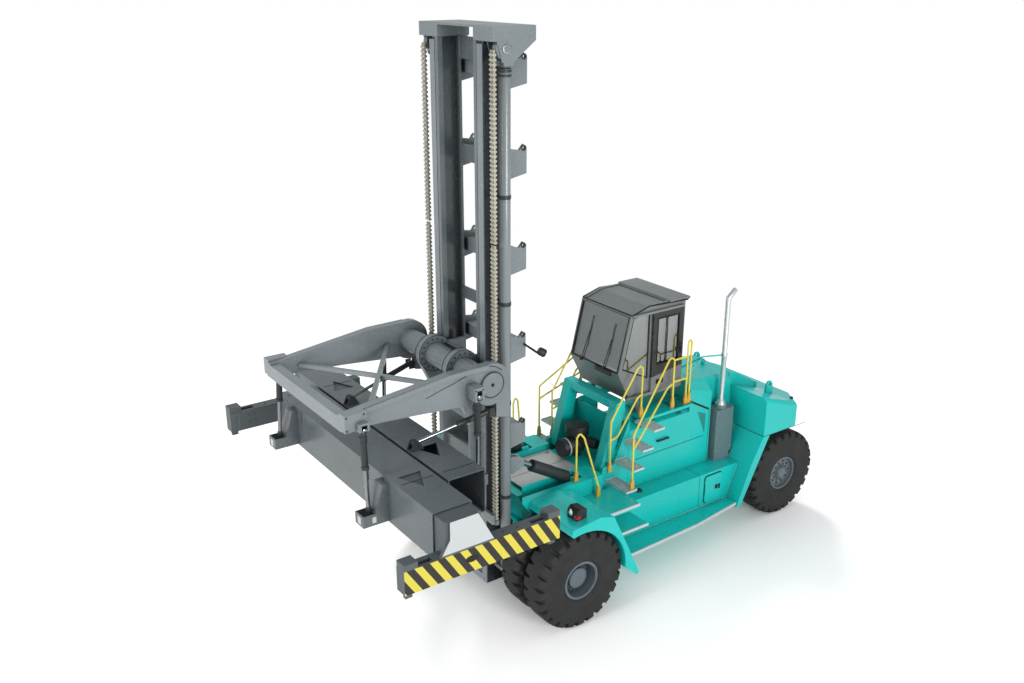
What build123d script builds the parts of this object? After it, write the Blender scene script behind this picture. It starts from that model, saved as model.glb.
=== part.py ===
"""Laden container handler: a lift truck with a twin mast and a top-lift spreader.

Millimetres. While it is modelled, X points forward, Y to the driver's left and Z up,
with X = 0 over the front axle and Z = 0 on the ground. On export every piece is moved
along X so that the origin lies under the middle of the whole machine.
"""
import math
import os

from build123d import *

# Sizes of the wheels and axles
WHEELBASE = 5440
TYRE_R = 838
TYRE_W = 490
BEAD_R = 330
FRONT_TYRE_OUTER_Y = 2080
TWIN_GAP = 110
LUG_COUNT = 24
LUG_SHARE = 0.62
LUG_DEPTH = 76
REAR_TYRE_OUTER_Y = 1440
SEAT_GAP = 0.3
HUB_R = 235
HUB_CAP_R = 170
SPINDLE_R = 100
RUNNING_GAP = 6
AXLE_TUBE_R = 170
KINGPIN_Y = 740
KINGPIN_R = 45
STEER_BEAM_Z0 = 660
STEER_BEAM_Z1 = 1010
STEER_BEAM_HALF_L = 480
HAND_HOLE_R = 24

# Sizes of the chassis and body
CHASSIS_HALF_W = 450
CHASSIS_Z0 = 450
CHASSIS_Z1 = 1200
NECK_HALF_W = 240
NECK_Z0 = 1130
FENDER_INNER_Y = 972
FENDER_OUTER_Y = 2100
FENDER_ARCH_R = 875
FENDER_NOSE = (230, 1835)
FENDER_CROWN = (-330, 1885)
BODY_HALF_W = 800
BODY_TOP_Z = 2400
WELL_HALF_W = 560
WELL_FLOOR_Z = 2000
WELL_REAR_X = -3390
TOWER_TOP_Z = 1860
DECK_Z = 1750
TOWER_REAR_X = -1300
HOOD_TOP_Z = 2600
REAR_HOOD_Z = 2960
BOX_OUTER_Y = 1200
BOX_TOP_Z = 1290
BOARD_Z = 650
BOARD_T = 50
BOARD_FRONT_Y = 1700
BOARD_REAR_Y = 1470
LOCKER_X0 = -3970
LOCKER_X1 = -3550
LOCKER_Z0 = 700
LOCKER_Z1 = 1230
LOCKER_DEPTH = 400
LOCKER_HINGE_R = 11
COUNTERWEIGHT_HALF_W = 1500
LUG_X = -WHEELBASE + 70
LUG_Y = 930
LUG_Z = 2540
LUG_T = 45
LUG_HOLE_R = 32
COUNTERWEIGHT_Z0 = 1830
COUNTERWEIGHT_X1 = -WHEELBASE + 740
COUNTERWEIGHT_X0 = -WHEELBASE - 580
LEG_FOOT_X = -WHEELBASE + 1330
LEG_FOOT_Z = 560
LEG_KNEE_X = -WHEELBASE + 1040
RAIL_REAR_X = LEG_KNEE_X + 200
LEG_T = 32
COUNTERWEIGHT_ROUND = 100
CROWN_HALF_W = 560
ARCH_FRONT_X = -1780
ARCH_FOOT_X = -1450
HOOD_FRONT_X = -2020
ARCH_HALF_W = 724
ARCH_TOP_Z = 2955

# Sizes of the cab
CAB_HALF_W = 650
CAB_WALL = 45
CAB_GLASS_T = 12
DOOR_STANDOFF = 6
DOOR_T = 40
DOOR_TRAVEL = 600
CAB_FLOOR_Z = 2890
CAB_ROOF_Z = 4550
CAB_REAR_X = -3340
DOOR_X0 = -3270
DOOR_X1 = -2580
DOOR_Z0 = 3000
DOOR_Z1 = 4380

# Sizes of the mast
MAST_FRONT_X = 887
MAST_REAR_X = 420
MAST_PLATE = 40
MAST_HEAD_Z = 9170
MAST_HEAD_HALF_W = 980
OUTER_WEB_Y = 690
OUTER_LIP_Y = 557
OUTER_FOOT_Z = 420
OUTER_TOP_Z = MAST_HEAD_Z - 240
HEAD_GAP = 40
INNER_LIP_Y = 474
INNER_WEB_Y = 640
INNER_FOOT_Z = 560
SLIDE_GAP = 12
LIFT_STROKE = 4500
PIVOT_X = 300
PIVOT_Z = 600
PIVOT_R = 50
LIFT_CYL_X = 635
LIFT_CYL_Y = 870
LIFT_CYL_R = 85
LIFT_ROD_R = 62
LIFT_CYL_Z0 = 760
LIFT_CYL_Z1 = MAST_HEAD_Z - 570
CHAIN_X = 857
CHAIN_T = 56
CHAIN_Y = 910
CHAIN_W = 110
CHAIN_ANCHOR_Z = 1690
PULLEY_Z = MAST_HEAD_Z - 300
PULLEY_R = 150
YOKE_LEVELS = (MAST_HEAD_Z - 870, 7020, 5570, 4150, 2700)
YOKE_H = 460
YOKE_REAR_X = 105

# Sizes of the carriage and lifting frame
TUBE_X = 1140
TUBE_Z = 4180
TUBE_R = 185
COLLAR_Y = 400
COLLAR_W = 120
COLLAR_R = 290
CARRIAGE_Z0 = 1640
CARRIAGE_Z1 = 4330
CARRIAGE_FRONT_X = 1010
CARRIAGE_REAR_X = 530
CARRIAGE_PLATE = 50
CARRIAGE_SIDE_Y = 430
ROLLER_LEVELS = (1860, 4100)
ARM_OUTER_Y = 1250
ARM_W = 130
ARM_END_R = 325
ARM_FRONT_X = 3570
LINK_ROD_R = 30
# Links: top point under the arm, foot point on the spreader's foot box
LINKS = (((3330, 1390, 4080), (3356, 1496, 2910)), ((1500, 1400, 4080), (1517, 1420, 2910)))

# Sizes of the spreader
SPREADER_X = 2460
END_BEAM_L = 2438
END_BEAM_OUTER_Y = 3040
END_BEAM_W = 200
END_BEAM_TOP_Z = 2870
END_BEAM_H = 344
TWISTLOCK_PITCH = 2259
MAIN_BEAM_W = 600
MAIN_BEAM_H = 670
MAIN_BEAM_Z0 = 2700
MAIN_BEAM_GAP = 50
MAIN_BEAM_WALL = 14
TELESCOPE_GAP = 10
TELESCOPE_WALL = 30
FRONT_BEAM_Y0 = -2100
FRONT_BEAM_Y1 = 2750
TELESCOPE_TRAVEL = 3067
TELESCOPE_INNER_Y = -900

# Sizes of the tilt cylinders
TILT_Y = 700
TILT_EYE_X = 270
TILT_EYE_Z = 2460
TILT_BASE_X = -800
TILT_BASE_Z = 1840
TILT_CYL_R = 100
TILT_ROD_R = 50
TILT_PIN_R = 32
TILT_CYL_L = 840

# Sizes of the exhaust, rails and small fittings
MUFFLER_X0 = -4500
MUFFLER_X1 = -4060
MUFFLER_Y0 = 640
MUFFLER_Y1 = 930
MUFFLER_TOP_Z = 2300
PIPE_X = -4270
PIPE_Y = 785
PIPE_R = 48
STAY_R = 14
EXHAUST_TOP_Z = 4390
RAIL_R = 17
BEND_R = 60
LAMP_X0 = -160
LAMP_X1 = 40
TREAD_DEPTH = 240
TREAD_T = 40
# Treads: front X, top Z, outer Y
TREADS = ((-1510, 1620, 1350), (-1700, 1950, 1300), (-1890, 2270, 1300), (-2130, 2580, 1300))
STEP_RAIL_Y = BODY_HALF_W + RAIL_R
PLATFORM_Z = HOOD_TOP_Z + 30
# Rails: a tube from foot to foot, then the bars that branch off it
RAILS = (
    (((-775, 900, TOWER_TOP_Z), (-775, 900, 2650), (-830, 910, 2730), (-900, 940, 2640),
      (-1090, 1110, 1760),
      (-1090, 1110, 1570)), ()),
    (((-1580, STEP_RAIL_Y, 1760), (-1580, STEP_RAIL_Y, 2700), (-2120, 830, 3540), (-2180, 830, 3590),
      (-2240, 830, 3530), (-2240, 830, PLATFORM_Z)),
     (((-1580, STEP_RAIL_Y, 2350), (-1740, 820, 2390), (-2140, 830, 3000), (-2240, 830, 3050)),)),
    (((-1660, 1310, 1620), (-1660, 1310, 2620), (-2790, 890, 3570), (-2870, 870, 3600), (-2950, 860, 3530),
      (-2950, 860, PLATFORM_Z)),
     (((-1660, 1310, 2360), (-1740, 1290, 2410), (-2790, 890, 3060), (-2950, 860, 3100)),
      ((-2950, 860, 3530), (-3265, 860, 3530)), ((-2950, 860, 3120), (-3265, 860, 3120)))),
    (((-3265, 860, PLATFORM_Z), (-3265, 860, 3780), (-3305, 860, 3850), (-3345, 860, 3780),
      (-3345, 860, PLATFORM_Z)),
     ()),
)

SIDE_SHIFT = 120
SHIFT_X = -(SPREADER_X + END_BEAM_L / 2 - WHEELBASE - TYRE_R) / 2


def block(x0, x1, y0, y1, z0, z1):
    """Box between two corners."""
    size = Box(abs(x1 - x0), abs(y1 - y0), abs(z1 - z0))
    return Pos((x0 + x1) / 2, (y0 + y1) / 2, (z0 + z1) / 2) * size


def prism(points, sweep):
    """Solid swept from a flat outline of 3-D points."""
    return Solid.extrude(Face(Wire.make_polygon(points)), Vector(*sweep))


def side_plate(outline, y0, y1):
    """Plate with an outline of (x, z) points between two Y planes."""
    return prism([(x, y0, z) for x, z in outline], (0, y1 - y0, 0))


def floor_plate(outline, z0, z1):
    """Plate with an outline of (x, y) points between two heights."""
    return prism([(x, y, z0) for x, y in outline], (0, 0, z1 - z0))


def cross_plate(outline, x0, x1):
    """Plate with an outline of (y, z) points between two X planes."""
    return prism([(x0, y, z) for y, z in outline], (x1 - x0, 0, 0))


def bar(start, end, radius):
    """Round bar between two points."""
    axis = Vector(*end) - Vector(*start)
    return Solid.make_cylinder(radius, axis.length, Plane(origin=start, z_dir=axis))


def round_y(x, y0, y1, z, radius):
    """Round bar along Y."""
    return bar((x, y0, z), (x, y1, z), radius)


def flipped(shape):
    """The same piece on the other side of the machine."""
    return shape.mirror(Plane.XZ)


def both(shape):
    """A piece and its mirror image."""
    return [shape, flipped(shape)]


def joined(pieces):
    """Pieces fused into one solid, or left apart where they do not meet."""
    first, *rest = pieces
    return first.fuse(*rest) if rest else first


def turned(profile, x, y, z, toward):
    """Solid turned about Y from (radius, distance) points, the distance running toward one side."""
    points = [(x + r, y + toward * d, z) for r, d in profile]
    face = Face(Wire.make_polygon(points))
    return Solid.revolve(face, 360, Axis((x, y, z), (0, 1, 0)))


NODES = {}


def node(name, *pieces):
    """Keep the solids of one node, moved to the machine's own origin."""
    solids = []
    for piece in pieces:
        solids += piece.solids()
    moved = [Pos(SHIFT_X, 0, 0) * solid for solid in solids]
    NODES[name] = moved[0] if len(moved) == 1 else Compound(children=moved)


def tyre(x, outer_y, side):
    """One tyre in flat facets: round the tread, a lug and a notch follow each other on both shoulders."""
    pitch = 2 * math.pi / LUG_COUNT
    half_lug = pitch * LUG_SHARE / 2
    tread = TYRE_R / math.cos(half_lug)
    bead = BEAD_R / math.cos(half_lug)
    flat = TYRE_R - 150
    near = [(bead, 40), (flat, 4), (TYRE_R - 58, 16), (tread, 64), (tread, 64 + LUG_DEPTH)]
    far = [(r, TYRE_W - d) for r, d in near]

    def corner(point, angle):
        r, d = point
        return x + r * math.sin(angle), side * (outer_y - d), TYRE_R - r * math.cos(angle)

    def facet(one, two, angle0, angle1):
        return [corner(one, angle0), corner(two, angle0), corner(two, angle1), corner(one, angle1)]

    lug_line = near + far[::-1]
    notch_line = [near[0], near[1], near[4], far[4], far[1], far[0]]
    outlines = []
    for i in range(LUG_COUNT):
        start = i * pitch - half_lug
        end = i * pitch + half_lug
        for line, angle0, angle1 in ((lug_line, start, end), (notch_line, end, start + pitch)):
            for one, two in zip(line, line[1:] + line[:1]):
                outlines.append(facet(one, two, angle0, angle1))
        for shoulder in (near[1:], far[1:]):
            for angle in (start, end):
                outlines.append([corner(point, angle) for point in shoulder])
    faces = [Face(Wire.make_polygon(outline)) for outline in outlines]
    return Solid(Shell(faces))


def front_rim(side):
    """Rim of a twin wheel with its deep hub and flat cap."""
    seat = BEAD_R - SEAT_GAP
    depth = 2 * TYRE_W + TWIN_GAP
    section = [
        (0, 120),
        (HUB_CAP_R, 120),
        (HUB_CAP_R, 210),
        (HUB_R, 210),
        (HUB_R, 260),
        (seat - 35, 260),
        (seat - 35, 40),
        (seat, 40),
        (seat, depth - 40),
        (seat - 35, depth - 40),
        (seat - 35, depth - 500),
        (SPINDLE_R + SEAT_GAP, depth - 500),
        (SPINDLE_R + SEAT_GAP, depth - 700),
        (0, depth - 700),
    ]
    return turned(section, 0, side * FRONT_TYRE_OUTER_Y, TYRE_R, -side)


def rear_rim(side):
    """Rim of a single steered wheel, nearly flush, with its knuckle's bore."""
    seat = BEAD_R - SEAT_GAP
    section = [
        (0, 60),
        (120, 60),
        (135, 95),
        (seat - 35, 95),
        (seat - 35, 40),
        (seat, 40),
        (seat, TYRE_W - 40),
        (seat - 35, TYRE_W - 40),
        (seat - 35, 150),
        (HUB_CAP_R, 150),
        (HUB_CAP_R, 330),
        (SPINDLE_R + SEAT_GAP, 330),
        (SPINDLE_R + SEAT_GAP, 170),
        (0, 170),
    ]
    rim = turned(section, -WHEELBASE, side * REAR_TYRE_OUTER_Y, TYRE_R, -side)
    for i in range(10):
        angle = 2 * math.pi * i / 10
        hole_x = -WHEELBASE + 220 * math.cos(angle)
        hole_z = TYRE_R + 220 * math.sin(angle)
        rim = rim - round_y(hole_x, side * (REAR_TYRE_OUTER_Y - 80), side * (REAR_TYRE_OUTER_Y - 160),
                            hole_z, HAND_HOLE_R)
    return rim


def make_wheels():
    """Twin front wheels and single rear wheels."""
    inner_twin_y = FRONT_TYRE_OUTER_Y - TYRE_W - TWIN_GAP
    for side, word in ((1, "left"), (-1, "right")):
        twins = [tyre(0, FRONT_TYRE_OUTER_Y, side), tyre(0, inner_twin_y, side)]
        node(f"front_tyres_{word}", *twins)
        node(f"front_rims_{word}", front_rim(side))
        node(f"rear_tyre_{word}", tyre(-WHEELBASE, REAR_TYRE_OUTER_Y, side))
        node(f"rear_rim_{word}", rear_rim(side))


def make_axles():
    """Drive axle, steer axle and the two knuckles."""
    twin_inner_y = FRONT_TYRE_OUTER_Y - 2 * TYRE_W - TWIN_GAP
    bore_end_y = twin_inner_y + 700
    spindle = round_y(0, 0, bore_end_y - RUNNING_GAP, TYRE_R, SPINDLE_R)
    tube = round_y(0, 0, twin_inner_y + 200, TYRE_R, AXLE_TUBE_R)
    banjo = Pos(0, 0, TYRE_R) * Sphere(300)
    pad = block(-130, 130, 320, CHASSIS_HALF_W, TYRE_R, TYRE_R + AXLE_TUBE_R + 5)
    ear = side_plate(
        [(-60, TYRE_R - 150), (150, TYRE_R - 230), (PIVOT_X + 70, PIVOT_Z - 70),
         (PIVOT_X + 70, PIVOT_Z + 60), (120, TYRE_R + 140), (-60, TYRE_R + 150)], 0, 45)
    ears = [Pos(0, y, 0) * ear for y in (300, 455)]
    pivot_pin = round_y(PIVOT_X, 290, 510, PIVOT_Z, PIVOT_R - SEAT_GAP)
    half = joined([spindle, tube, pad] + ears + [pivot_pin])
    node("front_axle", joined([banjo] + both(half)))

    eye_y = KINGPIN_Y
    beam = side_plate(
        [(-WHEELBASE - 150, STEER_BEAM_Z0), (-WHEELBASE + 150, STEER_BEAM_Z0),
         (-WHEELBASE + 150, STEER_BEAM_Z1), (-WHEELBASE - 150, STEER_BEAM_Z1)],
        -STEER_BEAM_HALF_L, STEER_BEAM_HALF_L)
    forks = []
    for z0, z1 in ((STEER_BEAM_Z0, STEER_BEAM_Z0 + 70), (STEER_BEAM_Z1 - 70, STEER_BEAM_Z1)):
        fork = block(-WHEELBASE - 100, -WHEELBASE + 100, STEER_BEAM_HALF_L - 20, eye_y, z0, z1)
        end = bar((-WHEELBASE, eye_y, z0), (-WHEELBASE, eye_y, z1), 100)
        forks += both(fork.fuse(end))
    pins = both(bar((-WHEELBASE, eye_y, STEER_BEAM_Z0 - 20),
                    (-WHEELBASE, eye_y, STEER_BEAM_Z1 + 20), KINGPIN_R))
    saddle = block(-WHEELBASE - 120, -WHEELBASE + 120, -200, 200, STEER_BEAM_Z1, NECK_Z0)
    node("steer_axle", joined([beam, saddle] + forks + pins))

    bore_end_y = REAR_TYRE_OUTER_Y - 170
    for side, word in ((1, "left"), (-1, "right")):
        block_z0 = STEER_BEAM_Z0 + 70 + RUNNING_GAP
        block_z1 = STEER_BEAM_Z1 - 70 - RUNNING_GAP
        boss = bar((-WHEELBASE, eye_y, block_z0), (-WHEELBASE, eye_y, block_z1), 90)
        web = block(-WHEELBASE - 80, -WHEELBASE + 80, eye_y, eye_y + 190, block_z0, block_z1)
        spindle = round_y(-WHEELBASE, eye_y + 60, bore_end_y - RUNNING_GAP, TYRE_R, SPINDLE_R)
        arm = block(-WHEELBASE - 300, -WHEELBASE, eye_y - 60, eye_y + 10, TYRE_R - 40, TYRE_R + 40)
        bore = bar((-WHEELBASE, eye_y, block_z0 - 1), (-WHEELBASE, eye_y, block_z1 + 1),
                   KINGPIN_R + SEAT_GAP)
        knuckle = joined([boss, web, spindle, arm]) - bore
        node(f"knuckle_{word}", knuckle if side > 0 else flipped(knuckle))


def make_chassis():
    """Main frame with the deck and the towers that hold the tilt cylinders."""
    rail_z = TYRE_R + AXLE_TUBE_R + 5
    main = block(RAIL_REAR_X, 100, -CHASSIS_HALF_W, CHASSIS_HALF_W, rail_z, CHASSIS_Z1)
    belly = block(RAIL_REAR_X, -420, -CHASSIS_HALF_W, CHASSIS_HALF_W, CHASSIS_Z0, rail_z)
    banjo_bay = block(-330, 101, -315, 315, rail_z - 1, TYRE_R + 310)
    neck = block(COUNTERWEIGHT_X0 + 70, RAIL_REAR_X, -NECK_HALF_W, NECK_HALF_W, NECK_Z0, COUNTERWEIGHT_Z0)
    front = [(TOWER_REAR_X, CHASSIS_Z1), (20, CHASSIS_Z1), (60, 1560), (150, 1700), (TOWER_REAR_X, DECK_Z)]
    deck = side_plate(front, -520, 520)
    tunnel = block(HOOD_FRONT_X, TOWER_REAR_X, -CHASSIS_HALF_W, CHASSIS_HALF_W, CHASSIS_Z1, DECK_Z)
    sill = [(TOWER_REAR_X, CHASSIS_Z1), (40, CHASSIS_Z1), (200, 1600), (400, TOWER_TOP_Z),
            (TOWER_REAR_X, TOWER_TOP_Z)]
    tower = side_plate(sill, 520, FENDER_INNER_Y)
    wedge = floor_plate([(60, 519), (400, FENDER_INNER_Y + 30), (600, FENDER_INNER_Y + 30), (600, 519)],
                        1100, 1900)
    slot = block(TILT_BASE_X - 160, 400, TILT_Y - 140, TILT_Y + 140, 1600, 1900)
    towers = both(tower - wedge - slot)
    ear = side_plate([(TILT_BASE_X - 110, 1590), (TILT_BASE_X + 110, 1590),
                      (TILT_BASE_X + 70, TILT_BASE_Z + 70), (TILT_BASE_X - 70, TILT_BASE_Z + 70)], 0, 35)
    ears = []
    for y in (TILT_Y - 140, TILT_Y + 105):
        ears += both(Pos(0, y, 0) * ear)
    pins = both(round_y(TILT_BASE_X, TILT_Y - 140, TILT_Y + 140, TILT_BASE_Z, TILT_PIN_R))
    node("chassis_frame", joined([main - banjo_bay, belly, neck, deck, tunnel] + towers + ears + pins))

    node("engine_block", block(-3900, -2150, -330, 330, CHASSIS_Z1, 1750))


def fender_blank():
    """Side form of a front fender before its arch is cut."""
    outline = [(FENDER_NOSE[0] + 30, 1730), FENDER_NOSE, FENDER_CROWN, (-600, 1800), (-1190, 590),
               (-1130, 560), (-500, 1100)]
    return side_plate(outline, FENDER_INNER_Y, FENDER_OUTER_Y)


def make_front_fenders():
    """Sheet-metal arches over the twin front wheels."""
    arch = round_y(0, FENDER_INNER_Y - 1, FENDER_OUTER_Y + 1, TYRE_R, FENDER_ARCH_R)
    node("front_fenders", *both(fender_blank() - arch))


def make_side_boxes():
    """Tank boxes beside the frame with two steps up to the front deck."""
    slant = (LEG_KNEE_X - LEG_FOOT_X) / (BOX_TOP_Z - LEG_FOOT_Z)
    rear_low_x = LEG_FOOT_X + slant * (BOARD_Z - LEG_FOOT_Z)
    tank = side_plate([(LEG_KNEE_X, BOX_TOP_Z), (TOWER_REAR_X, BOX_TOP_Z), (TOWER_REAR_X, BOARD_Z),
                       (rear_low_x, BOARD_Z)], CHASSIS_HALF_W, BOX_OUTER_Y)
    tank = tank - block(-4500, -4260, CHASSIS_HALF_W - 1, BODY_HALF_W, BOARD_Z - 1, BOX_TOP_Z + 1)
    deck = block(-1510, -620, FENDER_INNER_Y, BOARD_FRONT_Y, 1500, 1570)
    deck_wall = block(-1510, -1060, FENDER_INNER_Y, BOX_OUTER_Y, BOARD_Z, 1510)
    tread = block(-1720, -900, BOX_OUTER_Y - 10, BOARD_FRONT_Y, 1080, 1130)
    wheel_space = round_y(0, 0, FENDER_OUTER_Y + 10, TYRE_R, FENDER_ARCH_R + 60)
    box = joined([tank, deck, deck_wall, tread]) - wheel_space - fender_blank()
    locker = block(LOCKER_X0 + 20, LOCKER_X1 - 20, BOX_OUTER_Y - LOCKER_DEPTH, BOX_OUTER_Y + 1,
                   LOCKER_Z0 + 20, LOCKER_Z1 - 20)
    node("side_boxes", box - locker, flipped(box))

    board_end_x = LEG_FOOT_X + slant * (BOARD_Z - BOARD_T - LEG_FOOT_Z)
    board = floor_plate([(-1330, BOX_OUTER_Y), (-1330, BOARD_FRONT_Y), (-2980, BOARD_FRONT_Y - 70),
                         (board_end_x, BOARD_REAR_Y), (board_end_x, BOX_OUTER_Y)], BOARD_Z - BOARD_T,
                         BOARD_Z)
    node("running_boards", *both(board))


def make_hood():
    """Body behind the cab with its sloping shoulders, and the arch that carries the cab."""
    low = [(-CHASSIS_HALF_W, BOX_TOP_Z), (-CHASSIS_HALF_W, CHASSIS_Z1), (CHASSIS_HALF_W, CHASSIS_Z1),
           (CHASSIS_HALF_W, BOX_TOP_Z), (BODY_HALF_W, BOX_TOP_Z)]
    front_top = [(BODY_HALF_W, BODY_TOP_Z), (BODY_HALF_W - 250, HOOD_TOP_Z),
                 (250 - BODY_HALF_W, HOOD_TOP_Z),
                 (-BODY_HALF_W, BODY_TOP_Z), (-BODY_HALF_W, BOX_TOP_Z)]
    rear_top = [(BODY_HALF_W, REAR_HOOD_Z - 130), (BODY_HALF_W - 120, REAR_HOOD_Z),
                (120 - BODY_HALF_W, REAR_HOOD_Z),
                (-BODY_HALF_W, REAR_HOOD_Z - 130), (-BODY_HALF_W, BOX_TOP_Z)]
    front = cross_plate(low + front_top, -3450, HOOD_FRONT_X)
    rear_end = [(BODY_HALF_W, 2450), (BODY_HALF_W - 300, 2800), (300 - BODY_HALF_W, 2800),
                (-BODY_HALF_W, 2450), (-BODY_HALF_W, BOX_TOP_Z)]
    sections = []
    for x, outline in ((-3450, low + rear_top), (COUNTERWEIGHT_X1, low + rear_end)):
        sections.append(Face(Wire.make_polygon([(x, y, z) for y, z in outline])))
    rear = Solid.make_loft([section.outer_wire() for section in sections], ruled=True)
    niche = block(COUNTERWEIGHT_X1 - 20, MUFFLER_X1 + 60, MUFFLER_Y0 - 30, BODY_HALF_W + 1,
                  BOX_TOP_Z - 1, 3000)
    engine_bay = block(-3920, -2130, -350, 350, CHASSIS_Z1 - 1, 1770)
    wheel_bay = block(COUNTERWEIGHT_X1 - 100, LEG_KNEE_X + 140, -BODY_HALF_W - 1, BODY_HALF_W + 1,
                      CHASSIS_Z1 - 1, COUNTERWEIGHT_Z0)
    neck_bay = block(RAIL_REAR_X - 100, RAIL_REAR_X + 10, -NECK_HALF_W - 1, NECK_HALF_W + 1,
                     CHASSIS_Z1 - 1, COUNTERWEIGHT_Z0)
    platform = block(-3400, HOOD_FRONT_X - 200, 540, BODY_HALF_W + 130, HOOD_TOP_Z - 20, PLATFORM_Z)
    well = block(WELL_REAR_X, HOOD_FRONT_X - 40, -WELL_HALF_W, WELL_HALF_W, WELL_FLOOR_Z, HOOD_TOP_Z + 1)
    sill_cut = block(HOOD_FRONT_X - 41, HOOD_FRONT_X + 1, -WELL_HALF_W, WELL_HALF_W, 2500, HOOD_TOP_Z + 1)
    far_window = block(-3340, -2450, -BODY_HALF_W - 1, 1 - WELL_HALF_W, WELL_FLOOR_Z, HOOD_TOP_Z - 100)
    slit = side_plate([(-3424, 2640), (-3424, 2605), (-3954, 2315), (-3954, 2350)], BODY_HALF_W - 40,
                      BODY_HALF_W + 1)
    body = joined([front, rear] + both(platform))
    for cut in (engine_bay, wheel_bay, neck_bay, niche, well, sill_cut, far_window, slit):
        body = body - cut
    node("hood_body", body)

    leg = side_plate([(ARCH_FRONT_X, ARCH_TOP_Z), (ARCH_FOOT_X, TOWER_TOP_Z - 100),
                      (ARCH_FOOT_X - 250, TOWER_TOP_Z - 100),
                      (ARCH_FRONT_X - 190, ARCH_TOP_Z - 170), (ARCH_FRONT_X - 190, ARCH_TOP_Z)], 540,
                      ARCH_HALF_W)
    beam = block(ARCH_FRONT_X - 190, ARCH_FRONT_X, -ARCH_HALF_W, ARCH_HALF_W, ARCH_TOP_Z - 170, ARCH_TOP_Z)
    beam = beam.cut(block(ARCH_FRONT_X - 191, ARCH_FRONT_X + 1, -540, 540, ARCH_TOP_Z - 171,
                          ARCH_TOP_Z - 150))
    cheek = side_plate([(ARCH_FRONT_X - 190, 2500), (HOOD_FRONT_X, 2600), (HOOD_FRONT_X, BOX_TOP_Z),
                        (TOWER_REAR_X, BOX_TOP_Z), (ARCH_FOOT_X, TOWER_TOP_Z),
                        (ARCH_FOOT_X - 240, TOWER_TOP_Z)],
                       ARCH_HALF_W - 24, BODY_HALF_W)
    node("cab_arch", joined([beam] + both(leg) + both(cheek)))


def make_counterweight():
    """Cast counterweight with rounded edges, its side legs, wheel bays and lifting lugs."""
    side = [(COUNTERWEIGHT_X1, COUNTERWEIGHT_Z0), (COUNTERWEIGHT_X1, 2580), (COUNTERWEIGHT_X1 - 750, 2340),
            (COUNTERWEIGHT_X0, 2210), (COUNTERWEIGHT_X0, 1960),
            (COUNTERWEIGHT_X0 + 170, COUNTERWEIGHT_Z0)]
    plan = [(COUNTERWEIGHT_X1, COUNTERWEIGHT_HALF_W), (COUNTERWEIGHT_X1, -COUNTERWEIGHT_HALF_W),
            (COUNTERWEIGHT_X0 + 460, -COUNTERWEIGHT_HALF_W),
            (COUNTERWEIGHT_X0, -950), (COUNTERWEIGHT_X0, 950),
            (COUNTERWEIGHT_X0 + 460, COUNTERWEIGHT_HALF_W)]
    body = side_plate(side, -COUNTERWEIGHT_HALF_W, COUNTERWEIGHT_HALF_W) & floor_plate(plan, 1700, 2700)
    rims = []
    for edge in body.edges():
        extent = edge.bounding_box()
        if extent.min.Z > COUNTERWEIGHT_Z0 + 1 and extent.max.X < COUNTERWEIGHT_X1 - 1:
            rims.append(edge)
    body = body.fillet(COUNTERWEIGHT_ROUND, rims)
    crown = side_plate([(COUNTERWEIGHT_X1, 2300), (COUNTERWEIGHT_X1, 2790),
                        (COUNTERWEIGHT_X1 - 150, 2770), (COUNTERWEIGHT_X1 - 780, 2420),
                        (COUNTERWEIGHT_X1 - 780, 2300)], -CROWN_HALF_W, CROWN_HALF_W)
    crown = crown.fillet(40, crown.edges().filter_by(Axis.Y).group_by(Axis.Z)[-1])

    knee = (LEG_KNEE_X, BOX_TOP_Z)
    foot = (LEG_FOOT_X, LEG_FOOT_Z)
    top = (COUNTERWEIGHT_X1, COUNTERWEIGHT_Z0)
    sheet = side_plate([top, knee, foot, (foot[0] - LEG_T, foot[1]), (knee[0] - LEG_T, knee[1]),
                        (top[0] - LEG_T, top[1]), (top[0] - LEG_T, top[1] + 30), (top[0], top[1] + 30)],
                       BODY_HALF_W, COUNTERWEIGHT_HALF_W)
    sheet = sheet - block(-4500, -4000, BODY_HALF_W - 1, BOX_OUTER_Y, 500, BOX_TOP_Z)
    sheet = sheet - block(MUFFLER_X0 - 10, -4300, BODY_HALF_W - 1, MUFFLER_Y1 + 10, BOX_TOP_Z - 10, 1600)
    edge_bead = side_plate([top, knee, foot, (foot[0] - 110, foot[1]), (top[0] - 130, top[1] - 60),
                            (top[0] - 180, top[1] + 30), (top[0], top[1] + 30)],
                           COUNTERWEIGHT_HALF_W - 150, COUNTERWEIGHT_HALF_W)
    lug = side_plate([(LUG_X - 110, 2200), (LUG_X + 110, 2200), (LUG_X + 80, LUG_Z),
                      (LUG_X + 40, LUG_Z + 60),
                      (LUG_X - 40, LUG_Z + 60), (LUG_X - 80, LUG_Z)], LUG_Y, LUG_Y + LUG_T)
    lug = lug - round_y(LUG_X, LUG_Y - 10, LUG_Y + LUG_T + 10, LUG_Z, LUG_HOLE_R)
    neck_slot = block(COUNTERWEIGHT_X0 + 60, COUNTERWEIGHT_X1 + 10, -NECK_HALF_W, NECK_HALF_W, 1500,
                      COUNTERWEIGHT_Z0 + 1)
    whole = joined([body, crown] + both(sheet) + both(edge_bead) + both(lug))
    node("counterweight", whole - neck_slot)


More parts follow.
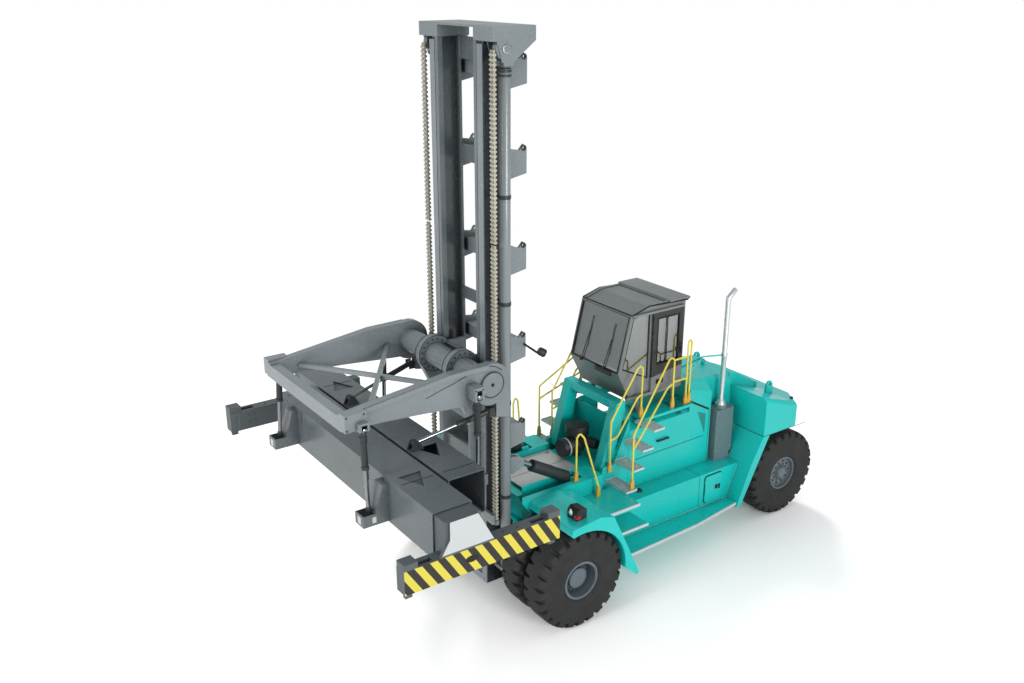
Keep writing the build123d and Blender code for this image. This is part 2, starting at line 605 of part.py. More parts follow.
def make_fittings():
    """Muffler and pipe, air cleaner, treads, handrails and front lamps."""
    cut = 30
    can = floor_plate([(MUFFLER_X0 + cut, MUFFLER_Y0), (MUFFLER_X1 - cut, MUFFLER_Y0),
                       (MUFFLER_X1, MUFFLER_Y0 + cut),
                       (MUFFLER_X1, MUFFLER_Y1 - cut), (MUFFLER_X1 - cut, MUFFLER_Y1),
                       (MUFFLER_X0 + cut, MUFFLER_Y1),
                       (MUFFLER_X0, MUFFLER_Y1 - cut), (MUFFLER_X0, MUFFLER_Y0 + cut)], BOX_TOP_Z,
                       MUFFLER_TOP_Z)
    can = can - block(MUFFLER_X0 - 1, -4425, MUFFLER_Y0 - 1, MUFFLER_Y1 + 1, BOX_TOP_Z - 1, 1420)
    cone = Pos(PIPE_X, PIPE_Y, MUFFLER_TOP_Z + 75) * Cone(130, PIPE_R + 10, 150)
    pipe = bar((PIPE_X, PIPE_Y, MUFFLER_TOP_Z + 140), (PIPE_X, PIPE_Y, EXHAUST_TOP_Z), PIPE_R)
    tip = bar((PIPE_X, PIPE_Y, EXHAUST_TOP_Z), (PIPE_X - 150, PIPE_Y + 20, EXHAUST_TOP_Z + 150), PIPE_R)
    elbow = Pos(PIPE_X, PIPE_Y, EXHAUST_TOP_Z) * Sphere(PIPE_R)
    clamp = bar((PIPE_X, PIPE_Y, 3290), (PIPE_X, PIPE_Y, 3340), PIPE_R + 12)
    knee = (-3920, 600, 3300)
    stays = [bar((-3560, 520, REAR_HOOD_Z), knee, STAY_R), bar((-3700, 180, REAR_HOOD_Z), knee, STAY_R),
             bar(knee, (PIPE_X, PIPE_Y, 3315), STAY_R), Pos(*knee) * Sphere(STAY_R)]
    node("exhaust", joined([can, cone, pipe, elbow, tip, clamp] + stays))

    stem = bar((-1560, -60, DECK_Z), (-1560, -60, 2200), 80)
    bowl = bar((-1560, -60, 2190), (-1560, -60, 2340), 215)
    drum = bar((-1620, -60, 1960), (-1200, -60, 1960), 160)
    hose = bar((-1560, -60, 2060), (-1700, 330, 2060), 85)
    node("air_cleaner", joined([stem, bowl, drum, hose]))

    treads = []
    for front_x, top_z, outer_y in TREADS:
        treads += both(block(front_x - TREAD_DEPTH, front_x, BODY_HALF_W, outer_y, top_z - TREAD_T, top_z))
    node("step_treads", *treads)

    rails = []
    for path, branches in RAILS:
        pieces = tube(path) + [rail_foot(path[0]), rail_foot(path[-1])]
        for branch in branches:
            pieces += tube(branch)
        rails.append(joined(pieces))
    rails[2:] = [joined(rails[2:])]
    node("handrails", *[half for rail in rails for half in both(rail)])

    slope = (FENDER_CROWN[1] - FENDER_NOSE[1]) / (FENDER_CROWN[0] - FENDER_NOSE[0])
    front_z = FENDER_NOSE[1] + slope * (LAMP_X1 - FENDER_NOSE[0])
    rear_z = FENDER_NOSE[1] + slope * (LAMP_X0 - FENDER_NOSE[0])
    lamp = side_plate([(LAMP_X0, rear_z), (LAMP_X1, front_z), (LAMP_X1, front_z + 120),
                       (LAMP_X1 - 60, front_z + 190),
                       (LAMP_X0, rear_z + 150)], 1700, 1940)
    node("front_lamps", *both(lamp))


def tube(path):
    """Bent tube through the points of a path, with round corners."""
    points = [Vector(*point) for point in path]
    pieces = []
    start = points[0]
    for before, corner, after in zip(points, points[1:], points[2:]):
        way_in = (corner - before).normalized()
        way_out = (after - corner).normalized()
        turn = math.acos(way_in.dot(way_out))
        setback = min(BEND_R * math.tan(turn / 2), (corner - before).length * 0.45,
                      (after - corner).length * 0.45)
        radius = setback / math.tan(turn / 2)
        bend_start = corner - way_in * setback
        axis = way_in.cross(way_out).normalized()
        centre = bend_start + axis.cross(way_in) * radius
        disc = Plane(origin=bend_start, z_dir=way_in) * Circle(RAIL_R)
        pieces.append(bar(tuple(start), tuple(bend_start), RAIL_R))
        pieces.append(Solid.revolve(disc.face(), math.degrees(turn), Axis(centre, axis)))
        start = corner + way_out * setback
    pieces.append(bar(tuple(start), tuple(points[-1]), RAIL_R))
    return pieces


def rail_foot(point):
    """Flattened foot of a rail."""
    x, y, z = point
    outline = [(x - 38, z), (x + 38, z), (x + RAIL_R, z + 190), (x - RAIL_R, z + 190)]
    return side_plate(outline, y - RAIL_R, y + RAIL_R)


def cab_outline(inset):
    """Side outline of the cab, moved inwards."""
    return [(-2130 - inset, CAB_FLOOR_Z + inset), (-1850 - inset, 3430), (-2090 - inset, 4430 - inset),
            (-2480 - inset, CAB_ROOF_Z - inset), (CAB_REAR_X + inset, CAB_ROOF_Z - inset),
            (CAB_REAR_X + inset, CAB_FLOOR_Z + inset)]


def make_cab():
    """Hollow cab with cut windows, its glass, seat and console, and a sliding door."""
    outer = side_plate(cab_outline(0), -CAB_HALF_W, CAB_HALF_W)
    inner = side_plate(cab_outline(CAB_WALL), CAB_WALL - CAB_HALF_W, CAB_HALF_W - CAB_WALL)
    shell = outer - inner
    glass_y = CAB_HALF_W - CAB_WALL + 5
    front_window = block(-2300, -1700, -glass_y, glass_y, 3465, 4395)
    roof_window = block(-2920, -2130, -glass_y, glass_y, 4400, 4600)
    rear_window = block(CAB_REAR_X - 50, CAB_REAR_X + 100, -520, 520, 3300, 4430)
    quarter = side_plate([(-1935, 3500), (-2150, 4395), (-2520, 4440), (-2520, 3220)],
                         -CAB_HALF_W - 1, CAB_HALF_W + 1)
    right_window = block(DOOR_X0, DOOR_X1, -CAB_HALF_W - 1, 0, 3420, 4400)
    opening = block(DOOR_X0, DOOR_X1, 0, CAB_HALF_W + 1, DOOR_Z0, DOOR_Z1)
    for cut in (front_window, roof_window, rear_window, quarter, right_window, opening):
        shell = shell - cut
    track_y = CAB_HALF_W + DOOR_STANDOFF + DOOR_T + 4
    tracks = [block(DOOR_X0 - 10, -2110, CAB_HALF_W, track_y, DOOR_Z1 + 26, DOOR_Z1 + 66),
              block(DOOR_X0 - 10, HOOD_FRONT_X, CAB_HALF_W, track_y, DOOR_Z0 - 66, DOOR_Z0 - 26)]
    feet = [bar((x, y, PLATFORM_Z), (x, y, CAB_FLOOR_Z + 10), 45) for x in (-3200, -2350) for y in (-590,
                                                                                                    590)]
    roof = block(-3400, -2950, -CAB_HALF_W - 35, CAB_HALF_W + 35, CAB_ROOF_Z - 20, CAB_ROOF_Z + 25)
    roof = roof.fillet(20, roof.edges().filter_by(Axis.Y) + roof.edges().filter_by(Axis.X))
    node("cab_shell", shell.fuse(roof, *tracks, *feet))

    pane = side_plate(cab_outline(15), -CAB_HALF_W + 15, CAB_HALF_W - 15)
    pane = pane - side_plate(cab_outline(15 + CAB_GLASS_T), CAB_GLASS_T + 15 - CAB_HALF_W,
                             CAB_HALF_W - 15 - CAB_GLASS_T)
    panes = []
    for cut in (front_window, roof_window, rear_window, quarter, right_window):
        panes.append(pane & cut)
    node("cab_glass", *panes)

    seat = block(-3050, -2550, -260, 260, CAB_FLOOR_Z + CAB_WALL, 3150)
    back = block(-3130, -2990, -240, 240, 3150, 3850)
    console = block(-2450, -2250, -330, 330, CAB_FLOOR_Z + CAB_WALL, 3300)
    node("cab_interior", seat.fuse(back), console)

    inner_y = CAB_HALF_W + DOOR_STANDOFF
    door = block(DOOR_X0 - 10, DOOR_X1 + 10, inner_y, inner_y + DOOR_T, DOOR_Z0 - 26 + SEAT_GAP,
                 DOOR_Z1 + 20)
    window = block(DOOR_X0 + 90, DOOR_X1 - 90, 0, CAB_HALF_W + 100, 3450, DOOR_Z1 - 70)
    node("cab_door", door - window)
    node("cab_door_glass", block(DOOR_X0 + 90, DOOR_X1 - 90, inner_y + 12, inner_y + 12 + CAB_GLASS_T,
                                 3450, DOOR_Z1 - 70))


def make_locker_door():
    """Rounded door of the locker in the left tank box, on a hinge along its front edge."""
    door = block(LOCKER_X0, LOCKER_X1, BOX_OUTER_Y + SEAT_GAP, BOX_OUTER_Y + 26, LOCKER_Z0, LOCKER_Z1)
    door = door.fillet(60, door.edges().filter_by(Axis.Y))
    hinges = []
    for z in (LOCKER_Z0 + 110, LOCKER_Z1 - 110):
        hinges.append(bar((LOCKER_X1, BOX_OUTER_Y + 15, z - 45), (LOCKER_X1, BOX_OUTER_Y + 15, z + 45),
                          LOCKER_HINGE_R))
    node("locker_door", joined([door] + hinges))


def outer_upright():
    """Left upright of the outer mast: a channel open to the middle."""
    web = OUTER_WEB_Y - MAST_PLATE
    outline = [(MAST_REAR_X, OUTER_LIP_Y), (MAST_REAR_X, OUTER_WEB_Y), (MAST_FRONT_X, OUTER_WEB_Y),
               (MAST_FRONT_X, OUTER_LIP_Y), (MAST_FRONT_X - MAST_PLATE, OUTER_LIP_Y),
               (MAST_FRONT_X - MAST_PLATE, web), (MAST_REAR_X + MAST_PLATE, web),
               (MAST_REAR_X + MAST_PLATE, OUTER_LIP_Y)]
    return floor_plate(outline, OUTER_FOOT_Z, OUTER_TOP_Z)


def inner_upright():
    """Left upright of the inner mast, nested in the outer one."""
    rear = MAST_REAR_X + MAST_PLATE + SLIDE_GAP
    front = MAST_FRONT_X - MAST_PLATE - SLIDE_GAP
    web = INNER_WEB_Y - MAST_PLATE
    step = OUTER_LIP_Y - SLIDE_GAP
    outline = [(rear, INNER_LIP_Y), (rear, INNER_WEB_Y), (front, INNER_WEB_Y), (front, step),
               (MAST_FRONT_X, step), (MAST_FRONT_X, INNER_LIP_Y), (front - MAST_PLATE, INNER_LIP_Y),
               (front - MAST_PLATE, web), (rear + MAST_PLATE, web), (rear + MAST_PLATE, INNER_LIP_Y)]
    return floor_plate(outline, INNER_FOOT_Z, OUTER_TOP_Z + HEAD_GAP)


def yoke(z):
    """Cross member behind the outer mast with an eye on each side plate."""
    cheek = side_plate([(MAST_REAR_X, z), (YOKE_REAR_X, z + 60), (YOKE_REAR_X, z + YOKE_H - 20),
                        (YOKE_REAR_X + 60, z + YOKE_H + 30), (YOKE_REAR_X + 130, z + YOKE_H - 50),
                        (MAST_REAR_X, z + YOKE_H - 20)], OUTER_WEB_Y - 60, OUTER_WEB_Y - 20)
    cheek = cheek - round_y(YOKE_REAR_X + 55, 0, OUTER_WEB_Y, z + YOKE_H - 25, 24)
    tie = block(YOKE_REAR_X + 5, MAST_REAR_X - 20, -OUTER_WEB_Y + 40, OUTER_WEB_Y - 40, z + 140, z + 340)
    return [tie] + both(cheek)


def make_outer_mast():
    """Outer mast with yokes, foot, tilt brackets, lift cylinders and the fixed chain spans."""
    pieces = both(outer_upright())
    for z in YOKE_LEVELS:
        pieces += yoke(z)
    foot = block(MAST_REAR_X, MAST_FRONT_X, -OUTER_WEB_Y, OUTER_WEB_Y, OUTER_FOOT_Z - 20, INNER_FOOT_Z - 40)
    heel = side_plate([(PIVOT_X - 80, PIVOT_Z - 80), (MAST_REAR_X + 10, OUTER_FOOT_Z - 20),
                       (MAST_REAR_X + 10, 900),
                       (PIVOT_X - 40, PIVOT_Z + 80), (PIVOT_X - 80, PIVOT_Z + 40)], 355, 445)
    heel = heel - round_y(PIVOT_X, 350, 450, PIVOT_Z, PIVOT_R)
    heel_tie = block(MAST_REAR_X, MAST_REAR_X + 30, 355, 445, INNER_FOOT_Z - 60, 900)
    bracket = side_plate([(MAST_REAR_X + 5, TILT_EYE_Z - 150), (TILT_EYE_X - 60, TILT_EYE_Z - 60),
                          (TILT_EYE_X - 60, TILT_EYE_Z + 60), (MAST_REAR_X + 5, TILT_EYE_Z + 150)], 0, 30)
    bracket_root = block(MAST_REAR_X, MAST_REAR_X + 50, OUTER_WEB_Y - 1, TILT_Y + 85,
                         TILT_EYE_Z - 150, TILT_EYE_Z + 150)
    brackets = [Pos(0, y, 0) * bracket for y in (TILT_Y - 85, TILT_Y + 55)]
    tilt_pin = round_y(TILT_EYE_X, TILT_Y - 85, TILT_Y + 85, TILT_EYE_Z, 25)
    anchor = block(CHAIN_X - 30, CHAIN_X + 30, OUTER_WEB_Y - 1, CHAIN_Y + 60, CHAIN_ANCHOR_Z - 80,
                   CHAIN_ANCHOR_Z)
    shelf = block(LIFT_CYL_X - 110, LIFT_CYL_X + 110, OUTER_WEB_Y - 1, LIFT_CYL_Y + 80,
                  LIFT_CYL_Z0 - 60, LIFT_CYL_Z0)
    for extra in (heel, heel_tie, bracket_root, tilt_pin, anchor, shelf, *brackets):
        pieces += both(extra)
    node("mast_outer", joined([foot] + pieces))

    barrel = bar((LIFT_CYL_X, LIFT_CYL_Y, LIFT_CYL_Z0), (LIFT_CYL_X, LIFT_CYL_Y, LIFT_CYL_Z1), LIFT_CYL_R)
    bore = bar((LIFT_CYL_X, LIFT_CYL_Y, LIFT_CYL_Z0 + 60), (LIFT_CYL_X, LIFT_CYL_Y, LIFT_CYL_Z1 + 1),
               LIFT_ROD_R + SEAT_GAP)
    node("lift_barrels", *both(barrel - bore))

    split_z = PULLEY_Z - LIFT_STROKE * 0.6
    lower = block(CHAIN_X - CHAIN_T / 2, CHAIN_X + CHAIN_T / 2, CHAIN_Y - CHAIN_W / 2,
                  CHAIN_Y + CHAIN_W / 2,
                  CHAIN_ANCHOR_Z, split_z - 10)
    upper = block(CHAIN_X - CHAIN_T / 2, CHAIN_X + CHAIN_T / 2, CHAIN_Y - CHAIN_W / 2,
                  CHAIN_Y + CHAIN_W / 2,
                  split_z, PULLEY_Z)
    node("chains_lower", *both(lower))
    node("chains_upper", *both(upper))


def make_inner_mast():
    """Inner mast with its cross plates, and the head with pulleys and lift rods."""
    rear = MAST_REAR_X + MAST_PLATE + SLIDE_GAP
    pieces = both(inner_upright())
    for z0, z1 in ((600, 900), (2400, 2650), (4950, 5150), (7150, 7400),
                   (OUTER_TOP_Z - 280, OUTER_TOP_Z + HEAD_GAP)):
        pieces.append(block(rear, rear + 30, -INNER_LIP_Y - 10, INNER_LIP_Y + 10, z0, z1))
    node("mast_inner", joined(pieces))

    top = block(180, MAST_FRONT_X, -MAST_HEAD_HALF_W, MAST_HEAD_HALF_W, MAST_HEAD_Z - 30, MAST_HEAD_Z)
    base_z = OUTER_TOP_Z + HEAD_GAP
    cap = block(MAST_FRONT_X - 25, MAST_FRONT_X, INNER_LIP_Y, MAST_HEAD_HALF_W, base_z, MAST_HEAD_Z)
    post = block(rear, MAST_FRONT_X, INNER_LIP_Y, INNER_LIP_Y + MAST_PLATE, base_z, MAST_HEAD_Z)
    head_side = [(MAST_FRONT_X, MAST_HEAD_Z), (180, MAST_HEAD_Z), (180, base_z), (330, base_z - 110),
                 (550, base_z - 280), (740, base_z - 280), (800, base_z - 70), (820, base_z),
                 (MAST_FRONT_X, base_z)]
    outer_cheek = side_plate(head_side, MAST_HEAD_HALF_W - 30, MAST_HEAD_HALF_W)
    inner_cheek = side_plate(head_side, OUTER_WEB_Y + 10, OUTER_WEB_Y + 30)
    pulley_x = CHAIN_X - CHAIN_T / 2 - PULLEY_R - SEAT_GAP
    pulley = round_y(pulley_x, CHAIN_Y - 50, CHAIN_Y + 50, PULLEY_Z, PULLEY_R)
    pulley_pin = round_y(pulley_x, OUTER_WEB_Y + 10, MAST_HEAD_HALF_W + 10, PULLEY_Z, 45)
    seat = block(LIFT_CYL_X - 80, LIFT_CYL_X + 80, OUTER_WEB_Y + 10, MAST_HEAD_HALF_W,
                 LIFT_CYL_Z1 + 40, LIFT_CYL_Z1 + 115)
    rod = bar((LIFT_CYL_X, LIFT_CYL_Y, LIFT_CYL_Z1 - LIFT_STROKE - 400),
              (LIFT_CYL_X, LIFT_CYL_Y, LIFT_CYL_Z1 + 100),
              LIFT_ROD_R)
    side = joined([cap, post, outer_cheek, inner_cheek, pulley, pulley_pin, seat, rod])
    node("mast_head", joined([top] + both(side)))


def make_carriage():
    """Carriage with rollers in the inner mast and two collars for the cross tube."""
    side_in = CARRIAGE_SIDE_Y - CARRIAGE_PLATE
    plate = side_plate([(CARRIAGE_REAR_X, CARRIAGE_Z0), (CARRIAGE_FRONT_X - 60, CARRIAGE_Z0),
                        (CARRIAGE_FRONT_X, 2200), (CARRIAGE_FRONT_X, CARRIAGE_Z1),
                        (CARRIAGE_REAR_X, CARRIAGE_Z1)],
                       side_in, CARRIAGE_SIDE_Y)
    channel_front = MAST_FRONT_X - 2 * MAST_PLATE - SLIDE_GAP
    channel_rear = MAST_REAR_X + 2 * MAST_PLATE + SLIDE_GAP
    roller_r = (channel_front - channel_rear) / 2 - SEAT_GAP
    roller_x = (channel_front + channel_rear) / 2
    rollers = []
    for z in ROLLER_LEVELS:
        stub = round_y(roller_x, side_in, 500, z, 55)
        wheel = round_y(roller_x, 480, INNER_WEB_Y - MAST_PLATE - 8, z, roller_r)
        rollers.append(stub.fuse(wheel))
    collar = collar_plate()
    bore = round_y(TUBE_X, 0, 600, TUBE_Z, TUBE_R + SEAT_GAP)
    side = joined([plate, collar] + rollers) - bore
    ties = []
    for z0, z1 in ((CARRIAGE_Z0, 1900), (2500, 2750), (3200, 3420), (4000, CARRIAGE_Z1)):
        ties.append(block(CARRIAGE_FRONT_X - 120, CARRIAGE_FRONT_X - 70, -side_in - 5, side_in + 5, z0, z1))
    ear = block(MAST_FRONT_X + SLIDE_GAP, CARRIAGE_FRONT_X - 60, side_in, CHAIN_Y + 60, CARRIAGE_Z0,
                CARRIAGE_Z0 + 160)
    node("carriage", joined(ties + both(side) + both(ear)))


def collar_plate():
    """Left collar, before its bore, with the taper down to the carriage plate."""
    ring = round_y(TUBE_X, COLLAR_Y - COLLAR_W / 2, COLLAR_Y + COLLAR_W / 2, TUBE_Z, COLLAR_R)
    taper = side_plate([(CARRIAGE_FRONT_X - 40, 3300), (CARRIAGE_FRONT_X + 60, 3380),
                        (TUBE_X + 230, TUBE_Z - 175),
                        (TUBE_X, TUBE_Z), (CARRIAGE_FRONT_X - 40, TUBE_Z + 150)],
                       COLLAR_Y - COLLAR_W / 2, COLLAR_Y + COLLAR_W / 2)
    return ring.fuse(taper)


def make_lifting_frame():
    """Cross tube, two tapering arms, front beam and bracing."""
    tube = round_y(TUBE_X, -ARM_OUTER_Y, ARM_OUTER_Y, TUBE_Z, TUBE_R)
    inner_y = ARM_OUTER_Y - ARM_W
    tail = round_y(TUBE_X, inner_y, ARM_OUTER_Y, TUBE_Z, ARM_END_R)
    arm = side_plate([(TUBE_X - 60, TUBE_Z + 319), (1850, 4495), (ARM_FRONT_X, 4290), (ARM_FRONT_X, 4060),
                      (2950, 4050), (2360, 4010), (1400, 3925), (1060, 3930), (1060, 3640), (850, 3600),
                      (815, 3700), (815, 4180)], inner_y, ARM_OUTER_Y)
    corner = block(ARM_FRONT_X - 330, ARM_FRONT_X, ARM_OUTER_Y - 60, ARM_OUTER_Y + 110, 4080, 4330)
    fork = block(3250, 3400, ARM_OUTER_Y, ARM_OUTER_Y + 200, 4080, 4200)
    rear_fork = block(1420, 1580, ARM_OUTER_Y, ARM_OUTER_Y + 230, 4080, 4290)
    front_beam = block(ARM_FRONT_X - 150, ARM_FRONT_X, -inner_y - 10, inner_y + 10, 4060, 4270)
    braces = []
    for sign in (1, -1):
        direction = Vector(3100 - 1560, sign * 2 * inner_y, 0)
        normal = Vector(-direction.Y, direction.X, 0).normalized() * 35
        start = Vector(1560, -sign * inner_y, 4150)
        end = start + direction
        corners = [start + normal, end + normal, end - normal, start - normal]
        braces.append(prism([tuple(p) for p in corners], (0, 0, 60)))
    boss = round_y(TUBE_X, ARM_OUTER_Y - 1, ARM_OUTER_Y + 25, TUBE_Z, 200)
    ridge = side_plate([(TUBE_X + 60, TUBE_Z + 322), (1850, 4495), (ARM_FRONT_X - 330, 4318),
                        (ARM_FRONT_X - 330, 4248),
                        (1850, 4425), (TUBE_X + 60, TUBE_Z + 250)], ARM_OUTER_Y - 1, ARM_OUTER_Y + 25)
    side = joined([tail, arm, corner, fork, rear_fork, boss, ridge])
    node("lifting_frame", joined([tube, front_beam] + braces + both(side)))

    links = []
    for top, foot in LINKS:
        upper = (top[0], top[1], top[2] - 60)
        lower = (foot[0], foot[1], foot[2] + 60)
        middle = Vector(*upper) + (Vector(*lower) - Vector(*upper)) * 0.45
        pieces = [bar(top, upper, 48), Pos(*upper) * Sphere(48), bar(upper, tuple(middle), 48),
                  bar(upper, lower, LINK_ROD_R), Pos(*lower) * Sphere(40), bar(foot, lower, 40)]
        links += both(joined(pieces))
    node("spreader_links", *links)


def make_spreader():
    """Two box beams side by side, with the foot boxes that hang on the links."""
    half = MAIN_BEAM_GAP / 2
    x1 = SPREADER_X + half
    z1 = MAIN_BEAM_Z0 + MAIN_BEAM_H
    pieces = []
    wall = MAIN_BEAM_WALL
    for x0, y0, y1 in ((x1, FRONT_BEAM_Y0, FRONT_BEAM_Y1),
                       (SPREADER_X - half - MAIN_BEAM_W, -FRONT_BEAM_Y1, -FRONT_BEAM_Y0)):
        hull = block(x0, x0 + MAIN_BEAM_W, y0, y1, MAIN_BEAM_Z0, z1)
        hollow = block(x0 + wall, x0 + MAIN_BEAM_W - wall, y0 - 1, y1 + 1, MAIN_BEAM_Z0 + wall, z1 - wall)
        hull = hull - hollow
        for sign in (1, -1):
            tip = (y0 + y1) / 2 + sign * 1300
            hatch = floor_plate([(x0 + 120, tip), (x0 + MAIN_BEAM_W - 120, tip),
                                 (x0 + MAIN_BEAM_W / 2, tip + sign * 420)],
                                z1 - wall - 1, z1 + 1)
            hull = hull - hatch
        pieces.append(hull)
    for y in (-1800, 0, 1800):
        pieces.append(block(SPREADER_X - half, x1, y - 150, y + 150, MAIN_BEAM_Z0 + 60, z1 - 60))
    front_face = x1 + MAIN_BEAM_W
    rear_face = SPREADER_X - half - MAIN_BEAM_W
    foot = side_plate([(front_face, 2740), (3500, 2740), (3500, 2910), (3300, 2910),
                       (front_face + 100, 3300),
                       (front_face, 3300)], 1370, 1610)
    rear_foot = side_plate([(rear_face, 2740), (1400, 2740), (1400, 2910), (1640, 2910), (rear_face, 3300)],
                           1320, 1520)
    node("spreader_beams", joined(pieces + both(foot) + both(rear_foot)))

    for side, word in ((1, "left"), (-1, "right")):
        beam = end_beam(x1 if side > 0 else SPREADER_X - half - MAIN_BEAM_W)
        node(f"end_beam_{word}", beam if side > 0 else flipped(beam))


def end_beam(hull_x):
    """Left end beam with its telescope in the box beam that starts at hull_x."""
    inset = MAIN_BEAM_WALL + TELESCOPE_GAP
    x0 = SPREADER_X - END_BEAM_L / 2
    x1 = SPREADER_X + END_BEAM_L / 2
    inner_y = END_BEAM_OUTER_Y - END_BEAM_W
    beam = block(x0, x1, inner_y, END_BEAM_OUTER_Y, END_BEAM_TOP_Z - END_BEAM_H, END_BEAM_TOP_Z)
    t0 = hull_x + inset
    t1 = hull_x + MAIN_BEAM_W - inset
    z0 = MAIN_BEAM_Z0 + MAIN_BEAM_WALL + SEAT_GAP
    z1 = MAIN_BEAM_Z0 + MAIN_BEAM_H - inset
    outer = block(t0, t1, TELESCOPE_INNER_Y, END_BEAM_OUTER_Y - 40, z0, z1)
    wall = TELESCOPE_WALL
    hollow = block(t0 + wall, t1 - wall, TELESCOPE_INNER_Y - 1, END_BEAM_OUTER_Y - 400, z0 + wall,
                   z1 - wall)
    crest = (t0 + t1) / 2
    gusset = side_plate([(crest - 520, END_BEAM_TOP_Z - 100), (crest - 215, z1), (crest + 215, z1),
                         (crest + 215, z1 - 250), (crest + 420, END_BEAM_TOP_Z - 100)],
                        END_BEAM_OUTER_Y - 60, END_BEAM_OUTER_Y)
    for sign in (1, -1):
        corner_x = SPREADER_X + sign * (END_BEAM_L / 2 - 100)
        beam = beam.fuse(block(corner_x - 100, corner_x + 100, inner_y + 10, END_BEAM_OUTER_Y,
                               END_BEAM_TOP_Z - 1,
                               END_BEAM_TOP_Z + 90))
        slot_x = SPREADER_X + sign * (END_BEAM_L / 2 - 330)
        slot = block(slot_x - 110, slot_x + 110, inner_y + 50, END_BEAM_OUTER_Y - 50, END_BEAM_TOP_Z - 60,
                     END_BEAM_TOP_Z + 1)
        beam = beam - slot
    locks = []
    for sign in (1, -1):
        x = SPREADER_X + sign * TWISTLOCK_PITCH / 2
        y = END_BEAM_OUTER_Y - 90
        z = END_BEAM_TOP_Z - END_BEAM_H
        locks.append(bar((x, y, z - 40), (x, y, z + 10), 28))
        locks.append(block(x - 52, x + 52, y - 28, y + 28, z - 90, z - 38))
    return joined([beam, outer - hollow, gusset] + locks)


def make_tilt_cylinders():
    """Tilt cylinders between the frame and the mast, each a barrel and a rod with an eye."""
    base = Vector(TILT_BASE_X, TILT_Y, TILT_BASE_Z)
    eye = Vector(TILT_EYE_X, TILT_Y, TILT_EYE_Z)
    axis = (eye - base).normalized()
    mouth = base + axis * (TILT_CYL_L + 90)
    start = base + axis * 90
    bore_r = TILT_ROD_R + SEAT_GAP
    barrel = bar(tuple(start), tuple(mouth), TILT_CYL_R) - bar(tuple(start + axis * 120),
                                                               tuple(mouth + axis), bore_r)
    lug = round_y(TILT_BASE_X, TILT_Y - 80, TILT_Y + 80, TILT_BASE_Z, 62)
    shank = bar(tuple(base), tuple(start + axis * 10), 60)
    pin_hole = round_y(TILT_BASE_X, TILT_Y - 90, TILT_Y + 90, TILT_BASE_Z, TILT_PIN_R + SEAT_GAP)
    node("tilt_barrels", *both(joined([barrel, lug, shank]) - pin_hole))

    rod = bar(tuple(eye - axis * 720), tuple(eye - axis * 50), TILT_ROD_R)
    head = round_y(TILT_EYE_X, TILT_Y - 48, TILT_Y + 48, TILT_EYE_Z, 72)
    node("tilt_rods", *both(rod.fuse(head) - round_y(TILT_EYE_X, TILT_Y - 90, TILT_Y + 90, TILT_EYE_Z, 40)))


for make in (make_wheels, make_axles, make_chassis, make_front_fenders, make_side_boxes, make_hood,
             make_counterweight, make_fittings, make_cab, make_locker_door, make_outer_mast,
             make_inner_mast,
             make_carriage, make_lifting_frame, make_spreader, make_tilt_cylinders):
    make()

os.makedirs("parts", exist_ok=True)
for name, shape in NODES.items():
    export_step(shape, f"parts/{name}.step")
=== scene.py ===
"""Looks of the laden container handler: finishes, fine pieces, light and camera.

Metres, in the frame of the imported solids: X forward, Y to the driver's left, Z up, ground at Z 0.
"""
import math

import bmesh
import bpy
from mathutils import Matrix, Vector


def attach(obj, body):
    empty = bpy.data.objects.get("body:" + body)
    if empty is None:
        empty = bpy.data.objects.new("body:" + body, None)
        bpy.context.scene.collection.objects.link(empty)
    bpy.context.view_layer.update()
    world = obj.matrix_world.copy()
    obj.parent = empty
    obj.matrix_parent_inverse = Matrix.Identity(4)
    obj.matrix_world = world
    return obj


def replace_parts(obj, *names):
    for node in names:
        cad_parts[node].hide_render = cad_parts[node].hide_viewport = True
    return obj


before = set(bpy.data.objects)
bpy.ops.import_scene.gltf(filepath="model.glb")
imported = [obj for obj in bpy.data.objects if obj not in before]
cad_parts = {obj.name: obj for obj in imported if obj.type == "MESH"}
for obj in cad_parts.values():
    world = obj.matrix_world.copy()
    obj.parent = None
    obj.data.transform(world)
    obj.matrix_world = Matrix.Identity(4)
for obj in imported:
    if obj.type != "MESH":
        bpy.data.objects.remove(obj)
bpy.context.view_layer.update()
MM = 0.001

# Camera at the photograph's place: 1020 px focal length in a frame 1024 px wide
CAMERA_PLACE = (10.17, 12.68, 9.87)
CAMERA_HEADING = math.radians(-125.3)
CAMERA_DIP = math.radians(20.0)
CAMERA_LENS = 36 * 1020 / 1024


def make_camera():
    """Camera looking down at the machine's front LEFT corner."""
    data = bpy.data.cameras.new("camera")
    data.sensor_width = 36
    data.lens = CAMERA_LENS
    data.clip_end = 200
    camera = bpy.data.objects.new("camera", data)
    bpy.context.collection.objects.link(camera)
    flat = math.cos(CAMERA_DIP)
    heading = Vector((flat * math.cos(CAMERA_HEADING), flat * math.sin(CAMERA_HEADING),
                      -math.sin(CAMERA_DIP)))
    camera.rotation_euler = heading.to_track_quat("-Z", "Y").to_euler()
    camera.location = CAMERA_PLACE
    bpy.context.scene.camera = camera


make_camera()


# Nodes and colours


def srgb(code):
    """Linear colour from an sRGB hex value."""
    parts = [int(code[i:i + 2], 16) / 255 for i in (0, 2, 4)]
    return tuple(p / 12.92 if p <= 0.04045 else ((p + 0.055) / 1.055) ** 2.4 for p in parts) + (1.0,)


def add(tree, kind, inputs=None, **settings):
    """A node with its settings; a socket gets a value, another socket, or a node's first output."""
    made = tree.nodes.new(kind)
    for name, value in settings.items():
        setattr(made, name, value)
    for name, value in (inputs or {}).items():
        if isinstance(value, bpy.types.Node):
            value = value.outputs[0]
        if isinstance(value, bpy.types.NodeSocket):
            tree.links.new(value, made.inputs[name])
        else:
            made.inputs[name].default_value = value
    return made


